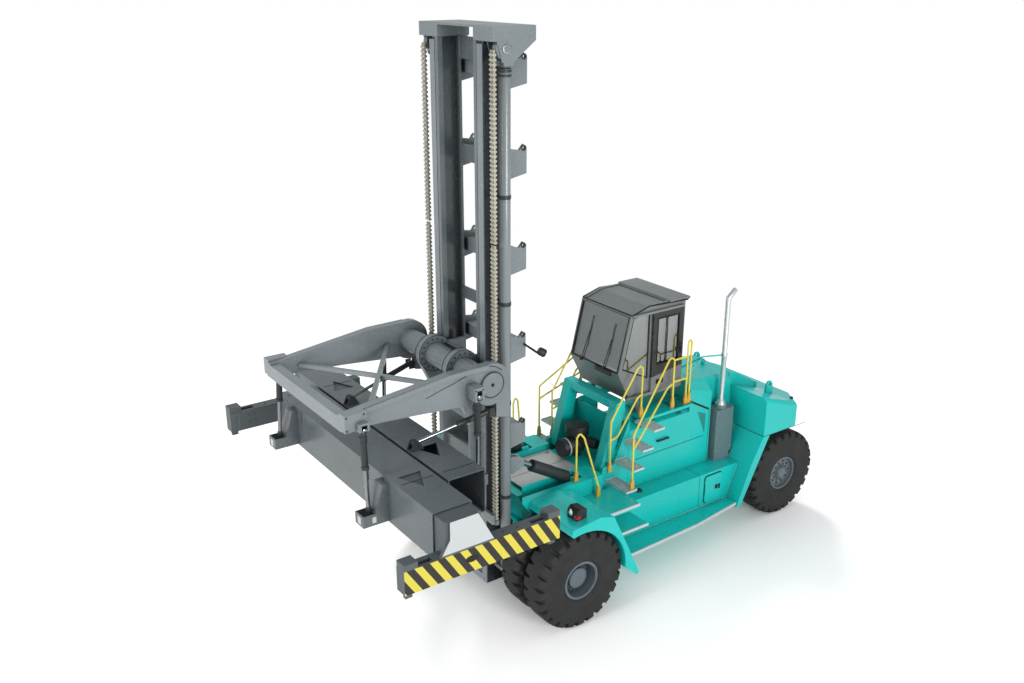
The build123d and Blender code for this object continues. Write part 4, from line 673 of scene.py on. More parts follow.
def make_rim_details():
    """Lock rings and bolt rings on the rims."""
    for side, word in SIDES:
        out = (0, side, 0)
        form = bmesh.new()
        ring_in(form, at(0, side * 2034, TYRE_R), out, 300, 329, 14)
        ring_in(form, at(0, side * 2030, TYRE_R), out, 286, 300, 10)
        ring_in(form, at(0, side * 1958, TYRE_R), out, 150, 158, 6)
        piece(f"front_lock_ring_{word}", form, f"front_wheels_{word}", RIM_ENAMEL)
        places = ring_of(at(0, side * 1820, TYRE_R), out, 262, 24, 1.15)
        places += ring_of(at(0, side * 1869, TYRE_R), out, 206, 20, 1.0)
        repeated(f"front_wheel_bolts_{word}", BOLT, places, f"front_wheels_{word}", RIM_BOLT_ENAMEL)
        form = bmesh.new()
        ring_in(form, at(-WHEELBASE, side * 1396, TYRE_R), out, 302, 329, 12)
        ring_in(form, at(-WHEELBASE, side * 1345, TYRE_R), out, 246, 256, 6)
        turned_in(form, [(0, 0), (104, 0), (104, 8), (92, 22), (60, 26), (0, 26)],
                  at(-WHEELBASE, side * 1379, TYRE_R), out, 40)
        piece(f"rear_lock_ring_{word}", form, f"rear_wheel_{word}", RIM_ENAMEL)
        places = ring_of(at(-WHEELBASE, side * 1345, TYRE_R), out, 165, 10, 1.2)
        places += ring_of(at(-WHEELBASE, side * 1379, TYRE_R), out, 112, 10, 0.6)
        repeated(f"rear_wheel_bolts_{word}", BOLT, places, f"rear_wheel_{word}", RIM_BOLT_ENAMEL)


make_rim_details()


# Leaf chains

CHAIN_PITCH = 64.0
CHAIN_X, CHAIN_Y = 857, 910
# Spans of a chain: node, body, lower and upper end
CHAIN_SPANS = (("chains_lower", "outer_mast", 1690, 6160), ("chains_upper", "inner_mast", 6170, 8870))


def make_chains():
    """Leaf chains of pitched side plates on pins, one piece for each span of the two lift chains."""
    form = bmesh.new()
    for i in range(6):
        outline = []
        for turn in range(12):
            a = 2 * math.pi * turn / 12
            z = 15 * math.sin(a) + (6 if math.sin(a) > 0 else -6)
            outline.append(Vector((27.5 * math.cos(a), -51 + i * 17.4, z)) * MM)
        prism_in(form, outline, (0, 15, 0))
    for y in (-34, 0, 34):
        core = [Vector((x, y - 8, z)) * MM for z in (0, CHAIN_PITCH) for x in (-12, 12)]
        prism_in(form, [core[0], core[1], core[3], core[2]], (0, 16, 0))
    turned_in(form, [(0, 0), (11, 0), (11, 108), (0, 108)], Vector((0, -0.054, 0)), LEFT, 8)
    link = item("chain_link_item", form)
    for name, body, z0, z1 in CHAIN_SPANS:
        count = int((z1 - z0 - 100) / CHAIN_PITCH) + 1
        places = row_of(at(CHAIN_X, CHAIN_Y, z0 + 30), at(CHAIN_X, CHAIN_Y, z1 - 70), count, UP)
        made = repeated(name + "_leaves", link, on_both(places), body, CHAIN_STEEL)
        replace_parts(made, name)


make_chains()


# Cab

def loop_in(form, outline, width, y0, y1):
    """Flat frame that follows the inside of an (x, z) outline."""
    middle = Vector((sum(x for x, z in outline) / len(outline), sum(z for x, z in outline) / len(outline)))
    inner = []
    for x, z in outline:
        way = middle - Vector((x, z))
        inner.append(Vector((x, z)) + way.normalized() * width)
    for i in range(len(outline)):
        j = (i + 1) % len(outline)
        plate_in(form, [outline[i], outline[j], tuple(inner[j]), tuple(inner[i])], y0, y1)


def make_cab_details():
    """Seals, wipers, door handle and mullion, and roof edges."""
    form = bmesh.new()
    quarter = [(-1935, 3500), (-2150, 4395), (-2520, 4440), (-2520, 3220)]
    loop_in(form, quarter, 26, 649, 653)
    mirrored(form)
    for y in (-610, 610):
        plate_in(form, [(-1858, 3450), (-2096, 4412), (-2082, 4412), (-1846, 3450)], y - 9, y + 9)
    for x, z in ((-1852, 3452), (-2090, 4404)):
        box_in(form, x - 8, x + 6, -612, 612, z - 9, z + 9)
    piece("window_seals", form, "machine", SEAL, 2)

    form = bmesh.new()
    for y, reach in ((-330, 520), (250, 520)):
        foot = at(-1842, y, 3440)
        tip = at(-1842 - 0.26 * reach, y + 60, 3440 + reach)
        rod_in(form, foot, tip, 9, 8)
        blade = tip + (tip - foot).normalized() * 0.02
        rod_in(form, blade - Vector((-0.06, 0.0, 0.30)), blade + Vector((-0.06, 0.0, 0.24)), 8, 8)
        turned_in(form, [(0, 0), (34, 0), (34, 30), (24, 40), (0, 40)], at(-1852, y, 3440), (1, 0, 0.2), 20)
    box_in(form, -1850, -1822, 60, 470, 3360, 3440)
    piece("wipers", form, "machine", BLACK_ABS, 1.5)

    form = bmesh.new()
    box_in(form, -2905, -2881, 693, 700, 3455, 4308)
    loop_in(form, [(-3182, 3448), (-2668, 3448), (-2668, 4312), (-3182, 4312)], 34, 696, 700)
    box_in(form, -2830, -2700, 696, 714, 3120, 3150)
    box_in(form, -2850, -2680, 696, 699, 3095, 3175)
    piece("door_trim", form, "cab_door", SEAL, 2)

    form = bmesh.new()
    for x in (-3230, -3150):
        rod_in(form, at(x, 702, 3600), at(x, 702, 3680), 9, 10)
    rod_in(form, at(-3230, 728, 3560), at(-3230, 728, 3760), 11, 12)
    for z in (3580, 3740):
        rod_in(form, at(-3230, 698, z), at(-3230, 728, z), 9, 10)
    piece("door_handle", form, "cab_door", BLACK_ABS)

    form = bmesh.new()
    for y in (-662, 656):
        plate_in(form, [(-3395, 4520), (-2480, 4556), (-2110, 4452), (-2110, 4430), (-2480, 4530),
                        (-3395, 4492)], y - 4, y + 6)
    rod_in(form, at(-3392, -680, 4545), at(-3392, 680, 4545), 26, 16)
    box_in(form, -2126, -2100, -640, 640, 4418, 4444)
    piece("roof_edges", form, "machine", SEAL, 2)


# How far a pad's sides pull in at its corners; its two sewn channels: place and half width as shares, depth
PULL_IN = 0.16
CHANNEL_PLACE, CHANNEL_HALF, CHANNEL_DEPTH = 0.45, 0.07, 0.05


def cushion(name, x0, x1, y0, y1, z0, z1):
    """Upholstered pad: a crowned form whose sides pull in between its corners, with two sewn channels."""
    form = bmesh.new()
    box_in(form, x0, x1, y0, y1, z0, z1)
    bmesh.ops.subdivide_edges(form, edges=form.edges[:], cuts=7, use_grid_fill=True)
    low, high = at(x0, y0, z0), at(x1, y1, z1)
    middle, half = (low + high) / 2, (high - low) / 2
    for vert in form.verts:
        u = [(vert.co[i] - middle[i]) / half[i] for i in range(3)]
        for i in range(3):
            j, k = (i + 1) % 3, (i + 2) % 3
            pull = 1 - PULL_IN * (u[j] ** 2 + u[k] ** 2) * abs(u[i])
            vert.co[i] = middle[i] + half[i] * u[i] * pull
        channel = CHANNEL_DEPTH * math.exp(-((abs(u[1]) - CHANNEL_PLACE) / CHANNEL_HALF) ** 2)
        vert.co -= Vector([half[i] * u[i] * channel for i in range(3)])
    made = piece(name, form, "machine", WEAVE, angle=80)
    smooth = made.modifiers.new("smooth", "SUBSURF")
    smooth.levels = smooth.render_levels = 1


def make_cab_room():
    """Seat with arm rests, steering column and a console, as seen through the panes."""
    cushion("seat_cushion", -3040, -2560, -250, 250, 3200, 3330)
    cushion("seat_back", -3160, -3030, -240, 240, 3290, 3960)
    cushion("head_rest", -3150, -3060, -130, 130, 3970, 4120)
    form = bmesh.new()
    box_in(form, -3010, -2600, -200, 200, 2935, 3000)
    rod_in(form, at(-2800, 0, 3000), at(-2800, 0, 3150), 90, 24)
    box_in(form, -3050, -2580, -235, 235, 3150, 3205)
    for y in (-320, 320):
        box_in(form, -2980, -2560, y - 45, y + 45, 3430, 3490)
        box_in(form, -2990, -2930, y - 30, y + 30, 3180, 3440)
        rod_in(form, at(-2620, y, 3490), at(-2600, y, 3600), 16, 12)
        turned_in(form, [(0, 0), (26, 10), (32, 30), (22, 52), (0, 58)], at(-2600, y, 3590), (0.1, 0, 1), 16)
    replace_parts(piece("seat_base", form, "machine", BLACK_ABS, 4), "cab_interior")

    form = bmesh.new()
    plate_in(form, [(-2450, 2935), (-2250, 2935), (-2210, 3330), (-2300, 3420), (-2400, 3300)], -330, 330)
    rod_in(form, at(-2330, 0, 3300), at(-2450, 0, 3560), 38, 16)
    centre = at(-2455, 0, 3575)
    axis = Vector((-0.42, 0, 0.9)).normalized()
    turned_in(form, [(205, -12), (217, -8), (222, 0), (217, 8), (205, 12), (199, 0), (205, -12)], centre,
              axis, 36)
    for turn in (0.3, 2.4, 4.5):
        across = axis.orthogonal().normalized()
        way = across * math.cos(turn) + axis.cross(across) * math.sin(turn)
        rod_in(form, centre, centre + way * 0.205, 11, 10)
    turned_in(form, [(0, -16), (46, -16), (50, 0), (40, 14), (0, 16)], centre, axis, 24)
    box_in(form, -2290, -2240, 360, 560, 3560, 3720)
    rod_in(form, at(-2250, 540, 3300), at(-2265, 540, 3580), 14, 12)
    piece("steering_console", form, "machine", TRIM, 4)


make_cab_details()
make_cab_room()


# Body and deck

# How far a drawn gap stands proud of its panel, in millimetres
PROUD = 0.8


def seam_in(form, start, end, width, normal):
    """Dark line of a panel gap: a strip that stands hardly proud of its panel."""
    way = (end - start).normalized()
    side = way.cross(Vector(normal)).normalized() * width * 0.5 * MM
    prism_in(form, [start - side, end - side, end + side, start + side], Vector(normal) * PROUD)


def make_body_seams():
    """Panel gaps, scoops, pipe stays, towing eye and small fittings of hood, tanks and counterweight."""
    form = bmesh.new()
    for start, end, width, normal in (
            (at(-2180, BODY_SIDE, 1812), at(-3845, BODY_SIDE, 1830), 12, LEFT),
            (at(-3960, BODY_SIDE, 2320), at(-3960, BODY_SIDE, 1300), 7, LEFT),
            (at(-3420, BODY_SIDE + 5, TANK_TOP), at(-3420, TANK_SIDE, TANK_TOP), 7, UP),
            (at(-3420, TANK_SIDE, 1285), at(-3420, TANK_SIDE, 655), 8, LEFT),
            (at(-2620, BODY_SIDE, 2480), at(-2480, BODY_SIDE, 2486), 12, LEFT),
            (at(-1700, TANK_SIDE, 1285), at(-1700, TANK_SIDE, 700), 6, LEFT),
            (at(-4705, 1500, 1834), at(-5846, 1500, 1834), 10, LEFT),
            (at(-4699, BODY_SIDE, 1832), at(-4699, 1490, 1832), 14, AHEAD)):
        seam_in(form, start, end, width, normal)
    plate_in(form, [(-3424, 2602), (-3424, 2643), (-3954, 2353), (-3954, 2312)], BODY_SIDE - 2,
             BODY_SIDE + PROUD)
    mirrored(form)
    piece("panel_gaps", form, "machine", SEAL)

    form = bmesh.new()
    plate_in(form, [(-3660, 2350), (-3880, 2262), (-3870, 1870)], BODY_SIDE, BODY_SIDE + PROUD)
    mirrored(form)
    piece("hood_scoops", form, "machine", SHADED_ENAMEL)

    form = bmesh.new()
    knee = at(-3920, 600, 3300)
    for start, end in ((at(-3560, 520, 2961), knee), (at(-3700, 180, 2961), knee),
                       (knee, at(-4222, 764, 3314))):
        rod_in(form, start, end, 15.5, 12)
    piece("pipe_stays", form, "machine", BODY_ENAMEL)

    form = bmesh.new()
    rod_in(form, at(-4560, 0, 2815), at(-4560, 0, 2850), 34, 20)
    ring_in(form, at(-4560, -10, 2885), LEFT, 26, 50, 20, 32)
    piece("hood_eye", form, "machine", BODY_ENAMEL, 2)

    form = bmesh.new()
    for x in (-2930, -2680):
        rod_in(form, at(x, BODY_SIDE, 2045), at(x, BODY_SIDE + 32, 2045), 14, 12)
    rod_in(form, at(-2950, BODY_SIDE + 34, 2045), at(-2660, BODY_SIDE + 34, 2045), 17, 14, 6)
    box_in(form, -3250, -3150, BODY_SIDE, BODY_SIDE + 6, 2440, 2462)
    turned_in(form, [(0, 0), (34, 0), (34, 22), (26, 30), (0, 30)], at(-5640, 1290, 2297), UP, 24)
    turned_in(form, [(0, 0), (58, 0), (58, 14), (48, 30), (0, 30)], at(-2140, 985, TANK_TOP), UP, 28)
    turned_in(form, [(0, 0), (20, 0), (20, 26), (0, 34)], at(-2140, 985, TANK_TOP + 28), UP, 8)
    box_in(form, -3860, -3800, 1226, 1240, 930, 1010)
    piece("body_fittings", form, "machine", BLACK_ABS, 2)

    form = bmesh.new()
    box_in(form, -3925, -3885, 1226, 1236, 915, 1005)
    rod_in(form, at(-3905, 1236, 960), at(-3905, 1244, 960), 13, 14)
    piece("locker_latch", form, "locker_door", BLACK_ABS, 2)


def make_gasket():
    """Rubber gasket in the gap round the locker door."""
    path = []
    for x, z, start in ((-3910, 760, 180), (-3610, 760, 270), (-3610, 1170, 0), (-3910, 1170, 90)):
        for i in range(7):
            turn = math.radians(start + 15 * i)
            path.append((Vector((x, z)), Vector((math.cos(turn), math.sin(turn)))))
    form = bmesh.new()
    for (place, way), (next_place, next_way) in zip(path, path[1:] + path[:1]):
        plate_in(form, [place + way * 63, next_place + next_way * 63, next_place + next_way * 75,
                        place + way * 75], 1199.5, 1206)
    piece("locker_gasket", form, "machine", SEAL)


def make_edges():
    """Pale anti-slip strips on the board, the deck and the step, and plates on the front deck."""
    form = bmesh.new()
    for line, z0, z1 in ((((-1330, BOARD_SIDE), (-2980, 1630), (-4120, 1478)), 606, 652),
                         (((-868, BOARD_SIDE), (-1508, BOARD_SIDE)), 1530, 1572),
                         (((-1100, BOARD_SIDE), (-1718, BOARD_SIDE)), 1092, 1132)):
        for (x0, y0), (x1, y1) in zip(line, line[1:]):
            for inner, outer, low, thick in ((-22, 3, z1 - 2, 5), (-1, 4, z0, z1 - z0 + 2)):
                outline = [at(x0, y0 + inner, low), at(x0, y0 + outer, low), at(x1, y1 + outer, low),
                           at(x1, y1 + inner, low)]
                prism_in(form, outline, (0, 0, thick))
    mirrored(form)
    piece("edge_strips", form, "machine", PALE_STRIP, 1.5)

    form = bmesh.new()
    for x0, x1 in ((-1260, -640), (-625, -30)):
        for y0, y1 in ((-505, -8), (8, 505)):
            box_in(form, x0, x1, y0, y1, DECK_TOP - 7, DECK_TOP)
    piece("deck_plates", form, "machine", ALLOY_PLATE, 2)

    form = bmesh.new()
    for x, y in ((-180, 430), (-180, -430), (-520, 430), (-520, -430), (-1160, 400), (-1160, -400),
                 (-760, 60)):
        box_in(form, x - 42, x + 42, y - 10, y + 10, DECK_TOP, DECK_TOP + 1.5)
    for x in range(-3340, -2960, 56):
        box_in(form, x, x + 26, 600, 900, PLATFORM_TOP, PLATFORM_TOP + 3)
    piece("deck_slots", form, "machine", DARK_VOID)


def make_body_bolts():
    """Bolts of tanks, boards, muffler and deck plates."""
    places = []
    places += row_of(at(-1450, 1560, 650), at(-3900, 1440, 650), 9, UP, 0.7)
    places += row_of(at(-1500, 1260, 650), at(-3900, 1260, 650), 7, UP, 0.7)
    places += row_of(at(-3460, 1100, TANK_TOP), at(-3460, 860, TANK_TOP), 3, UP, 0.6)
    places += row_of(at(-2400, 1160, TANK_TOP), at(-3300, 1160, TANK_TOP), 4, UP, 0.6)
    for x in (-1240, -50, -660, -605):
        places += row_of(at(x, 30, DECK_TOP), at(x, 480, DECK_TOP), 4, UP, 0.5)
    repeated("body_bolts", BOLT, on_both(places), "machine", ZINC)
    places = []
    for y in (662, 908):
        places += row_of(at(-4060, y, 1340), at(-4060, y, 2250), 7, AHEAD, 0.55)
    for z in (1500, 1900, 2240):
        places += row_of(at(-4100, 930, z), at(-4460, 930, z), 2, LEFT, 0.5)
    repeated("muffler_bolts", BOLT, places, "machine", ZINC)


# Treads of one stair: front edge, top and outer end
TREADS = ((-1510, 1620, 1350), (-1700, 1950, 1300), (-1890, 2270, 1300), (-2130, 2580, 1300))


def make_treads():
    """Galvanised step gratings, eight in all: a frame, bearing bars and a toothed front edge for each."""
    form = bmesh.new()
    for front_x, top_z, outer_y in TREADS:
        back = front_x - 240
        for x0, x1 in ((front_x - 6, front_x), (back, back + 6)):
            box_in(form, x0, x1, 800, outer_y, top_z - 40, top_z)
        for y0, y1 in ((800, 806), (outer_y - 6, outer_y)):
            box_in(form, back + 6, front_x - 6, y0, y1, top_z - 40, top_z)
        for i in range(1, 8):
            x = back + i * 30
            box_in(form, x - 2.5, x + 2.5, 806, outer_y - 6, top_z - 34, top_z - 2)
        count = int((outer_y - 812) / 60)
        for i in range(1, count + 1):
            y = 806 + i * (outer_y - 812) / (count + 1)
            box_in(form, back + 6, front_x - 6, y - 3, y + 3, top_z - 20, top_z - 8)
        for i in range(int((outer_y - 800) / 25)):
            y = 803 + i * 25
            box_in(form, front_x - 14, front_x - 1, y, y + 14, top_z - 1, top_z)
        plate_in(form, [(back + 10, top_z - 40), (front_x - 10, top_z - 40), (back + 20, top_z - 120)],
                 BODY_SIDE, BODY_SIDE + 6)
    mirrored(form)
    made = piece("step_gratings", form, "machine", GALVANISED)
    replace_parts(made, "step_treads")


def make_rail_feet():
    """Flattened and painted feet of the handrails."""
    form = bmesh.new()
    for x, y, z in ((-775, 900, 1860), (-1090, 1110, 1570), (-1580, 817, 1760), (-1660, 1310, 1620),
                    (-2240, 830, PLATFORM_TOP), (-2950, 860, PLATFORM_TOP), (-3265, 860, PLATFORM_TOP),
                    (-3345, 860, PLATFORM_TOP)):
        plate_in(form, [(x - 39, z), (x + 39, z), (x + 39, z + 90), (x + 20, z + 192), (x - 20, z + 192),
                        (x - 39, z + 90)], y - 18.5, y + 18.5)
    mirrored(form)
    piece("rail_feet", form, "machine", FOOT_ENAMEL, 3)


def make_lamps():
    """Head lamps and red markers in the fender pods, and the work lamp on the mast."""
    form = bmesh.new()
    slope = Vector((1, 0, 0.12)).normalized()
    turned_in(form, [(62, 0), (70, 0), (70, 18), (62, 22), (62, 0)], at(38, 1790, 1955), slope, 32)
    mirrored(form)
    piece("lamp_bezels", form, "machine", BLACK_ABS)
    form = bmesh.new()
    turned_in(form, [(0, 0), (60, 0), (58, 12), (30, 18), (0, 19)], at(38, 1790, 1955), slope, 28)
    mirrored(form)
    piece("lamp_lenses", form, "machine", LAMP_REFLECTOR)
    form = bmesh.new()
    box_in(form, -40, 34, 1932, 1946, 1880, 1935)
    box_in(form, 34, 44, 1872, 1934, 1880, 1935)
    mirrored(form)
    piece("marker_lenses", form, "machine", RED_LENS, 3)
    form = bmesh.new()
    turned_in(form, [(0, 0), (52, 0), (62, 14), (66, 40), (66, 110), (58, 122), (0, 122)],
              at(60, 940, 4385), (-0.6, 0.3, -0.4), 28)
    rod_in(form, at(40, 930, 4320), at(150, 640, 4440), 18, 12)
    box_in(form, 105, 200, 600, 650, 4400, 4480)
    piece("work_lamp", form, "outer_mast", BLACK_ABS, 5)


make_body_seams()
make_gasket()
make_edges()
make_body_bolts()
make_treads()
make_rail_feet()
make_lamps()


# Mast, carriage, lifting frame and spreader

def make_mast_details():
    """Head pins, cylinder glands, pipes, clamps and bolts of the mast."""
    form = bmesh.new()
    turned_in(form, [(0, 0), (58, 0), (62, 4), (62, 12), (50, 14), (50, 9), (0, 9)],
              at(679, 980, 8870), LEFT, 40)
    mirrored(form)
    piece("head_pins", form, "inner_mast", ZINC)
    places = ring_of(at(679, 980, 8870), LEFT, 92, 6, 0.7)
    places += row_of(at(250, 980, 9080), at(820, 980, 9080), 4, LEFT, 0.8)
    repeated("head_bolts", BOLT, on_both(places), "inner_mast", ZINC)
    form = bmesh.new()
    for z in (8500, 8560):
        ring_in(form, at(635, 870, z), (0, 0, 1), 85, 98, 30, 32)
    ring_in(form, at(635, 870, 8600), (0, 0, 1), 63, 92, 14, 32)
    for z in (2000, 3600, 5200, 6800):
        ring_in(form, at(635, 870, z), (0, 0, 1), 85, 92, 60, 32)
        box_in(form, 595, 675, 688, 790, z + 5, z + 55)
    mirrored(form)
    piece("cylinder_clamps", form, "outer_mast", CAST_STEEL, 2)
    form = bmesh.new()
    for i, x in enumerate((480, 510, 540)):
        rod_in(form, at(x, 706, 900), at(x, 706, 8300 - 300 * i), 11, 10)
    for z in range(1200, 8000, 850):
        box_in(form, 462, 560, 690, 722, z, z + 40)
    mirrored(form)
    piece("mast_pipes", form, "outer_mast", CAST_STEEL, 1.5)
    form = bmesh.new()
    for z in (8300, 7020, 5570, 4150, 2700):
        for z1 in (z + 190, z + 290):
            rod_in(form, at(112, 560, z1), at(100, 560, z1), 20, 6)
            rod_in(form, at(112, 300, z1), at(100, 300, z1), 20, 6)
        ring_in(form, at(160, 670, z + 435), LEFT, 24, 44, 8)
    mirrored(form)
    piece("yoke_bolts", form, "outer_mast", CAST_STEEL, 1)


def make_carriage_details():
    """Tie bolts, and the flanges and bolts of the collars."""
    places = []
    for z in (1700, 1840, 2560, 2700, 3260, 3380, 4060, 4280):
        places += row_of(at(940, 60, z), at(940, 340, z), 3, AHEAD)
    repeated("carriage_bolts", BOLT, on_both(places), "carriage", ZINC, size=0.8)
    form = bmesh.new()
    for y in (332, 459):
        ring_in(form, at(PIVOT_X, y, PIVOT_Z), LEFT, 292, 296, 9, 64)
    mirrored(form)
    piece("collar_edges", form, "carriage", SEAL)
    places = []
    for y, way in ((340, -1), (460, 1)):
        places += ring_of(at(PIVOT_X, y, PIVOT_Z), (0, way, 0), 240, 16, 0.8, 0.2)
    repeated("collar_bolts", BOLT, on_both(places), "carriage", CAST_STEEL)


# Links between frame and spreader, on the left: top and foot
LINKS = (((3330, 1390, 4020), (3356, 1496, 2970)), ((1500, 1400, 4020), (1517, 1420, 2970)))


def make_frame_details():
    """Discs, clevis pins, damping cylinders and link rods of the lifting frame."""
    form = bmesh.new()
    ring_in(form, at(PIVOT_X, 1275, PIVOT_Z), LEFT, 188, 200, 3, 64)
    box_in(form, 1120, 1160, 1275, 1288, 4160, 4200)
    ridge = ((2254, 4227), (2023, 4292), (1771, 4354), (1515, 4433), (1308, 4489), (1180, 4480), (1060, 4440),
             (960, 4370))
    for (x0, z0), (x1, z1) in zip(ridge, ridge[1:]):
        seam_in(form, at(x0, 1250, z0), at(x1, 1250, z1), 12, LEFT)
    mirrored(form)
    piece("arm_grooves", form, "lifting_frame", SEAL)

    form = bmesh.new()
    for top, foot in LINKS:
        top, foot = at(*top), at(*foot)
        rod_in(form, top.lerp(foot, 0.45), foot, 31.5, 24)
    for x, y, z, reach in ((3325, 1350, 4140, 112), (1500, 1300, 4185, 192)):
        rod_in(form, at(x, y - 20, z), at(x, y + reach - 10, z), 24, 24)
        turned_in(form, [(0, 0), (36, 0), (36, 8), (30, 12), (0, 12)], at(x, y + reach - 12, z - 46),
                  LEFT, 28)
    mirrored(form)
    piece("link_rods", form, "lifting_frame", CHROME)
    form = bmesh.new()
    box_in(form, 3283, 3367, 1450, 1452, 4088, 4172)
    box_in(form, 1458, 1542, 1480, 1482, 4090, 4240)
    mirrored(form)
    piece("clevis_slots", form, "lifting_frame", DARK_VOID)

    form = bmesh.new()
    for top, foot in LINKS:
        top, foot = at(*top), at(*foot)
        turned_in(form, [(30, 0), (56, 0), (56, 40), (50, 44), (30, 44), (30, 0)], top.lerp(foot, 0.43),
                  foot - top, 28)
        turned_in(form, [(30, 0), (58, 0), (58, 70), (48, 90), (30, 90), (30, 0)], top.lerp(foot, 0.02),
                  foot - top, 28)
    mirrored(form)
    piece("link_glands", form, "lifting_frame", CAST_STEEL)

    form = bmesh.new()
    rods = bmesh.new()
    for sign in (1, -1):
        high, low = at(1130, sign * 1185, 3740), at(2330, sign * 1010, 3470)
        rod_in(form, high, high.lerp(low, 0.42), 44, 24)
        rod_in(rods, high.lerp(low, 0.4), low, 26, 20)
        turned_in(form, [(26, 0), (52, 0), (52, 50), (26, 50), (26, 0)], high.lerp(low, 0.41), low - high, 24)
        turned_in(form, [(0, -45), (50, -45), (50, 45), (0, 45)], low, LEFT, 24)
        turned_in(form, [(0, -45), (55, -45), (55, 45), (0, 45)], high, LEFT, 24)
        for y in (sign * 1010 - 62, sign * 1010 + 50):
            plate_in(form, [(2200, 3370), (2430, 3370), (2370, 3510), (2290, 3510)], y, y + 12)
        box_in(form, 1080, 1180, sign * 1185 - 65, sign * 1185 - 50, 3660, 3800)
        box_in(form, 1080, 1180, sign * 1185 + 50, sign * 1185 + 62, 3660, 3800)
    piece("damper_barrels", form, "lifting_frame", CAST_STEEL, 1.5)
    piece("damper_rods", rods, "lifting_frame", CHROME)

    places = []
    places += row_of(at(3280, 1360, 4300), at(3540, 1360, 4300), 2, LEFT, 0.8)
    places += row_of(at(3280, 1360, 4110), at(3540, 1360, 4110), 2, LEFT, 0.8)
    places += row_of(at(1440, 1480, 4250), at(1560, 1480, 4250), 2, LEFT, 0.7)
    repeated("frame_bolts", BOLT, on_both(places), "lifting_frame", CAST_STEEL)


def make_spreader_details():
    """Slits, foot box recesses, blank plates and bolts of the spreader."""
    form = bmesh.new()
    for y0 in (-1250, 1000):
        for x0 in (SPREADER_X + 625, SPREADER_X - 627):
            box_in(form, x0, x0 + 2, y0, y0 + 14, 3110, 3330)
    for x0, x1 in ((2485, 3085), (1835, 2435)):
        for y0 in (-1900, 1850):
            box_in(form, x0 + 40, x1 - 60, y0, y0 + 12, 3370, 3372)
    piece("hull_slits", form, "lifting_frame", DARK_VOID)
    form = bmesh.new()
    for x0, x1, y0, y1 in ((3320, 3480, 1390, 1590), (1420, 1600, 1340, 1500)):
        box_in(form, x0, x1, y0, y1, 2910, 2913)
    mirrored(form)
    piece("foot_recesses", form, "lifting_frame", DARK_VOID)
    form = bmesh.new()
    box_in(form, 3499, 3503, 1450, 1540, 2770, 2880)
    box_in(form, 3300, 3360, 1609, 1612, 2780, 2870)
    mirrored(form)
    piece("blank_plates", form, "lifting_frame", PALE_STRIP, 1)
    for side, word in SIDES:
        out = (0, side, 0)
        form = bmesh.new()
        for sign in (1, -1):
            x = SPREADER_X + sign * 1119
            box_in(form, x - 70, x + 70, side * 2862, side * 2866, 2790, 2930)
            for x1 in (x - 60, x + 46):
                plate_in(form, [(x1, 2540), (x1 + 14, 2540), (x1 + 14, 2860), (x1, 2860)], side * 2836,
                         side * 2866)
            box_in(form, x - 90, x + 90, side * 2870, side * 3020, 2512, 2530)
        piece(f"corner_ribs_{word}", form, f"end_beam_{word}", SPREADER_ENAMEL, 3)
        places = []
        for x0 in (SPREADER_X - 900, SPREADER_X + 780):
            for x in (x0, x0 + 110):
                for z in (2660, 2770):
                    places.append((at(x, side * 2840, z), (0, -side, 0), 0.6))
        places += row_of(at(1900, side * 2940, 2870), at(3020, side * 2940, 2870), 6, (0, 0, 1), 0.7)
        repeated(f"end_beam_bolts_{word}", BOLT, places, f"end_beam_{word}", CAST_STEEL)


make_mast_details()
make_carriage_details()
make_frame_details()
make_spreader_details()


def make_cleaner_details():
    """Ring on the air cleaner's drum, the cap of its bowl and the folds of its hose."""
    form = bmesh.new()
    ring_in(form, at(-1330, -60, 1960), (1, 0, 0), 160, 164, 26, 48)
    piece("cleaner_band", form, "machine", PALE_STRIP)
    form = bmesh.new()
    turned_in(form, [(0, 0), (120, 0), (200, -14), (218, -30), (218, -38), (0, -38)],
              at(-1560, -60, 2352), UP, 48)
    start, end = at(-1600, 50, 2060), at(-1690, 300, 2060)
    for i in range(7):
        turned_in(form, [(80, 0), (97, 6), (97, 16), (80, 22), (80, 0)], start.lerp(end, i / 7),
                  end - start, 28)
    piece("cleaner_cap", form, "machine", BLACK_ABS)


make_cleaner_details()


# Width of the round edges by slot, in millimetres; a slot with none has fine or already finished forms
EDGE_ROUND = {"tyre": 0, "glass": 0, "chrome": 0, "chain": 0, "galvanised": 0, "rail_paint": 0, "interior": 0,
              "body_paint": 7, "mast_paint": 4, "spreader_paint": 6, "hazard_paint": 4, "cab_paint": 6}
PLAIN_ROUND = 3


def round_cad_edges():
    """Small round edges on the plain solids, by modifiers that leave their meshes as they are."""
    for name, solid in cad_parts.items():
        width = EDGE_ROUND.get(SLOT_OF[name], PLAIN_ROUND)
        if not width:
            continue
        weld = solid.modifiers.new("weld", "WELD")
        weld.merge_threshold = 0.00005
        flat = solid.modifiers.new("flat_faces", "DECIMATE")
        flat.decimate_type = "DISSOLVE"
        flat.angle_limit = math.radians(0.6)
        soften(solid, width)


round_cad_edges()
for spare in ("bolt_item", "chain_link_item"):
    bpy.data.objects.remove(bpy.data.objects[spare])


# Light, floor and backdrop

# The floor turns into backdrop between these distances from the middle, in metres
FADE_START, FADE_END = 8.0, 14.0
# Linear colour that the camera sees on the floor, so that it reaches white beside the shadow
SEEN_FLOOR = (1.42, 1.395, 1.375, 1.0)
# Softboxes: place, aim, width, watts; the last gives the soft shadow and shows in no reflection
SOFTBOXES = (((3.0, 22.0, 8.0), (0, 0, 2.5), 9.0, 2250.0),
             ((20.0, 2.0, 9.0), (0, 0, 4.0), 6.0, 1300.0),
             ((-9.0, -14.0, 16.0), (0, 0, 2.0), 6.0, 1600.0))


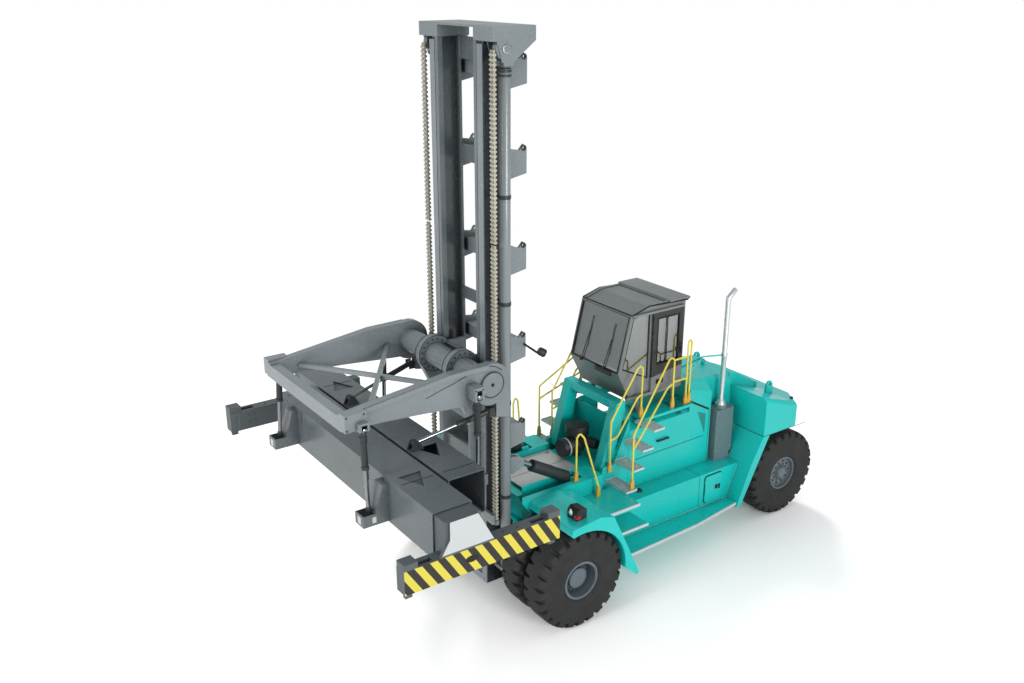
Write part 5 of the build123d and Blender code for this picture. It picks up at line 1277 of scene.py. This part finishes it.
def make_studio():
    """White floor that keeps the shadow and fades into a white backdrop, with soft lamps."""
    material, tree = new_material("studio_floor")
    place = add(tree, "ShaderNodeTexCoord").outputs["Object"]
    reach = add(tree, "ShaderNodeVectorMath", {0: place}, operation="LENGTH").outputs["Value"]
    far = add(tree, "ShaderNodeMapRange", {"Value": reach, "From Min": FADE_START, "From Max": FADE_END})
    glow = add(tree, "ShaderNodeEmission", {"Color": srgb("ffffff"), "Strength": 1.0})
    path = add(tree, "ShaderNodeLightPath")
    inputs = {0: path.outputs["Is Camera Ray"], 6: srgb("f4f3f1"), 7: SEEN_FLOOR}
    bright = add(tree, "ShaderNodeMix", inputs, data_type="RGBA").outputs[2]
    diffuse = add(tree, "ShaderNodeBsdfDiffuse", {"Color": bright})
    seen = path.outputs["Is Camera Ray"]
    for ray in ("Is Glossy Ray", "Is Transmission Ray"):
        seen = add(tree, "ShaderNodeMath", {0: seen, 1: path.outputs[ray]}, operation="MAXIMUM")
    fade = add(tree, "ShaderNodeMath", {0: far, 1: seen}, operation="MULTIPLY")
    surfaced(material, add(tree, "ShaderNodeMixShader", {0: fade, 1: diffuse, 2: glow}))
    mesh = bpy.data.meshes.new("studio_floor")
    form = bmesh.new()
    bmesh.ops.create_grid(form, x_segments=1, y_segments=1, size=60)
    form.to_mesh(mesh)
    form.free()
    floor = bpy.data.objects.new("studio_floor", mesh)
    floor.data.materials.append(material)
    bpy.context.collection.objects.link(floor)

    world = bpy.data.worlds.new("studio")
    bpy.context.scene.world = world
    world.use_nodes = True
    tree = world.node_tree
    tree.nodes.clear()
    path = add(tree, "ShaderNodeLightPath").outputs
    inputs = {0: path["Is Camera Ray"], 1: path["Is Transmission Ray"]}
    seen = add(tree, "ShaderNodeMath", inputs, operation="MAXIMUM")
    white = add(tree, "ShaderNodeBackground", {"Color": srgb("ffffff"), "Strength": 1.0})
    room = add(tree, "ShaderNodeBackground", {"Color": srgb("eef2f5"), "Strength": 0.55})
    both = add(tree, "ShaderNodeMixShader", {0: seen, 1: room, 2: white})
    add(tree, "ShaderNodeOutputWorld", {"Surface": both})

    for i, (lamp_place, aim, size, power) in enumerate(SOFTBOXES):
        data = bpy.data.lights.new(f"softbox_{i}", "AREA")
        data.shape = "DISK"
        data.size = size
        data.energy = power
        lamp = bpy.data.objects.new(f"softbox_{i}", data)
        lamp.location = lamp_place
        lamp.visible_glossy = i < len(SOFTBOXES) - 1
        lamp.rotation_euler = (Vector(aim) - Vector(lamp_place)).to_track_quat("-Z", "Y").to_euler()
        bpy.context.collection.objects.link(lamp)


make_studio()
bpy.context.scene.view_settings.view_transform = "Standard"
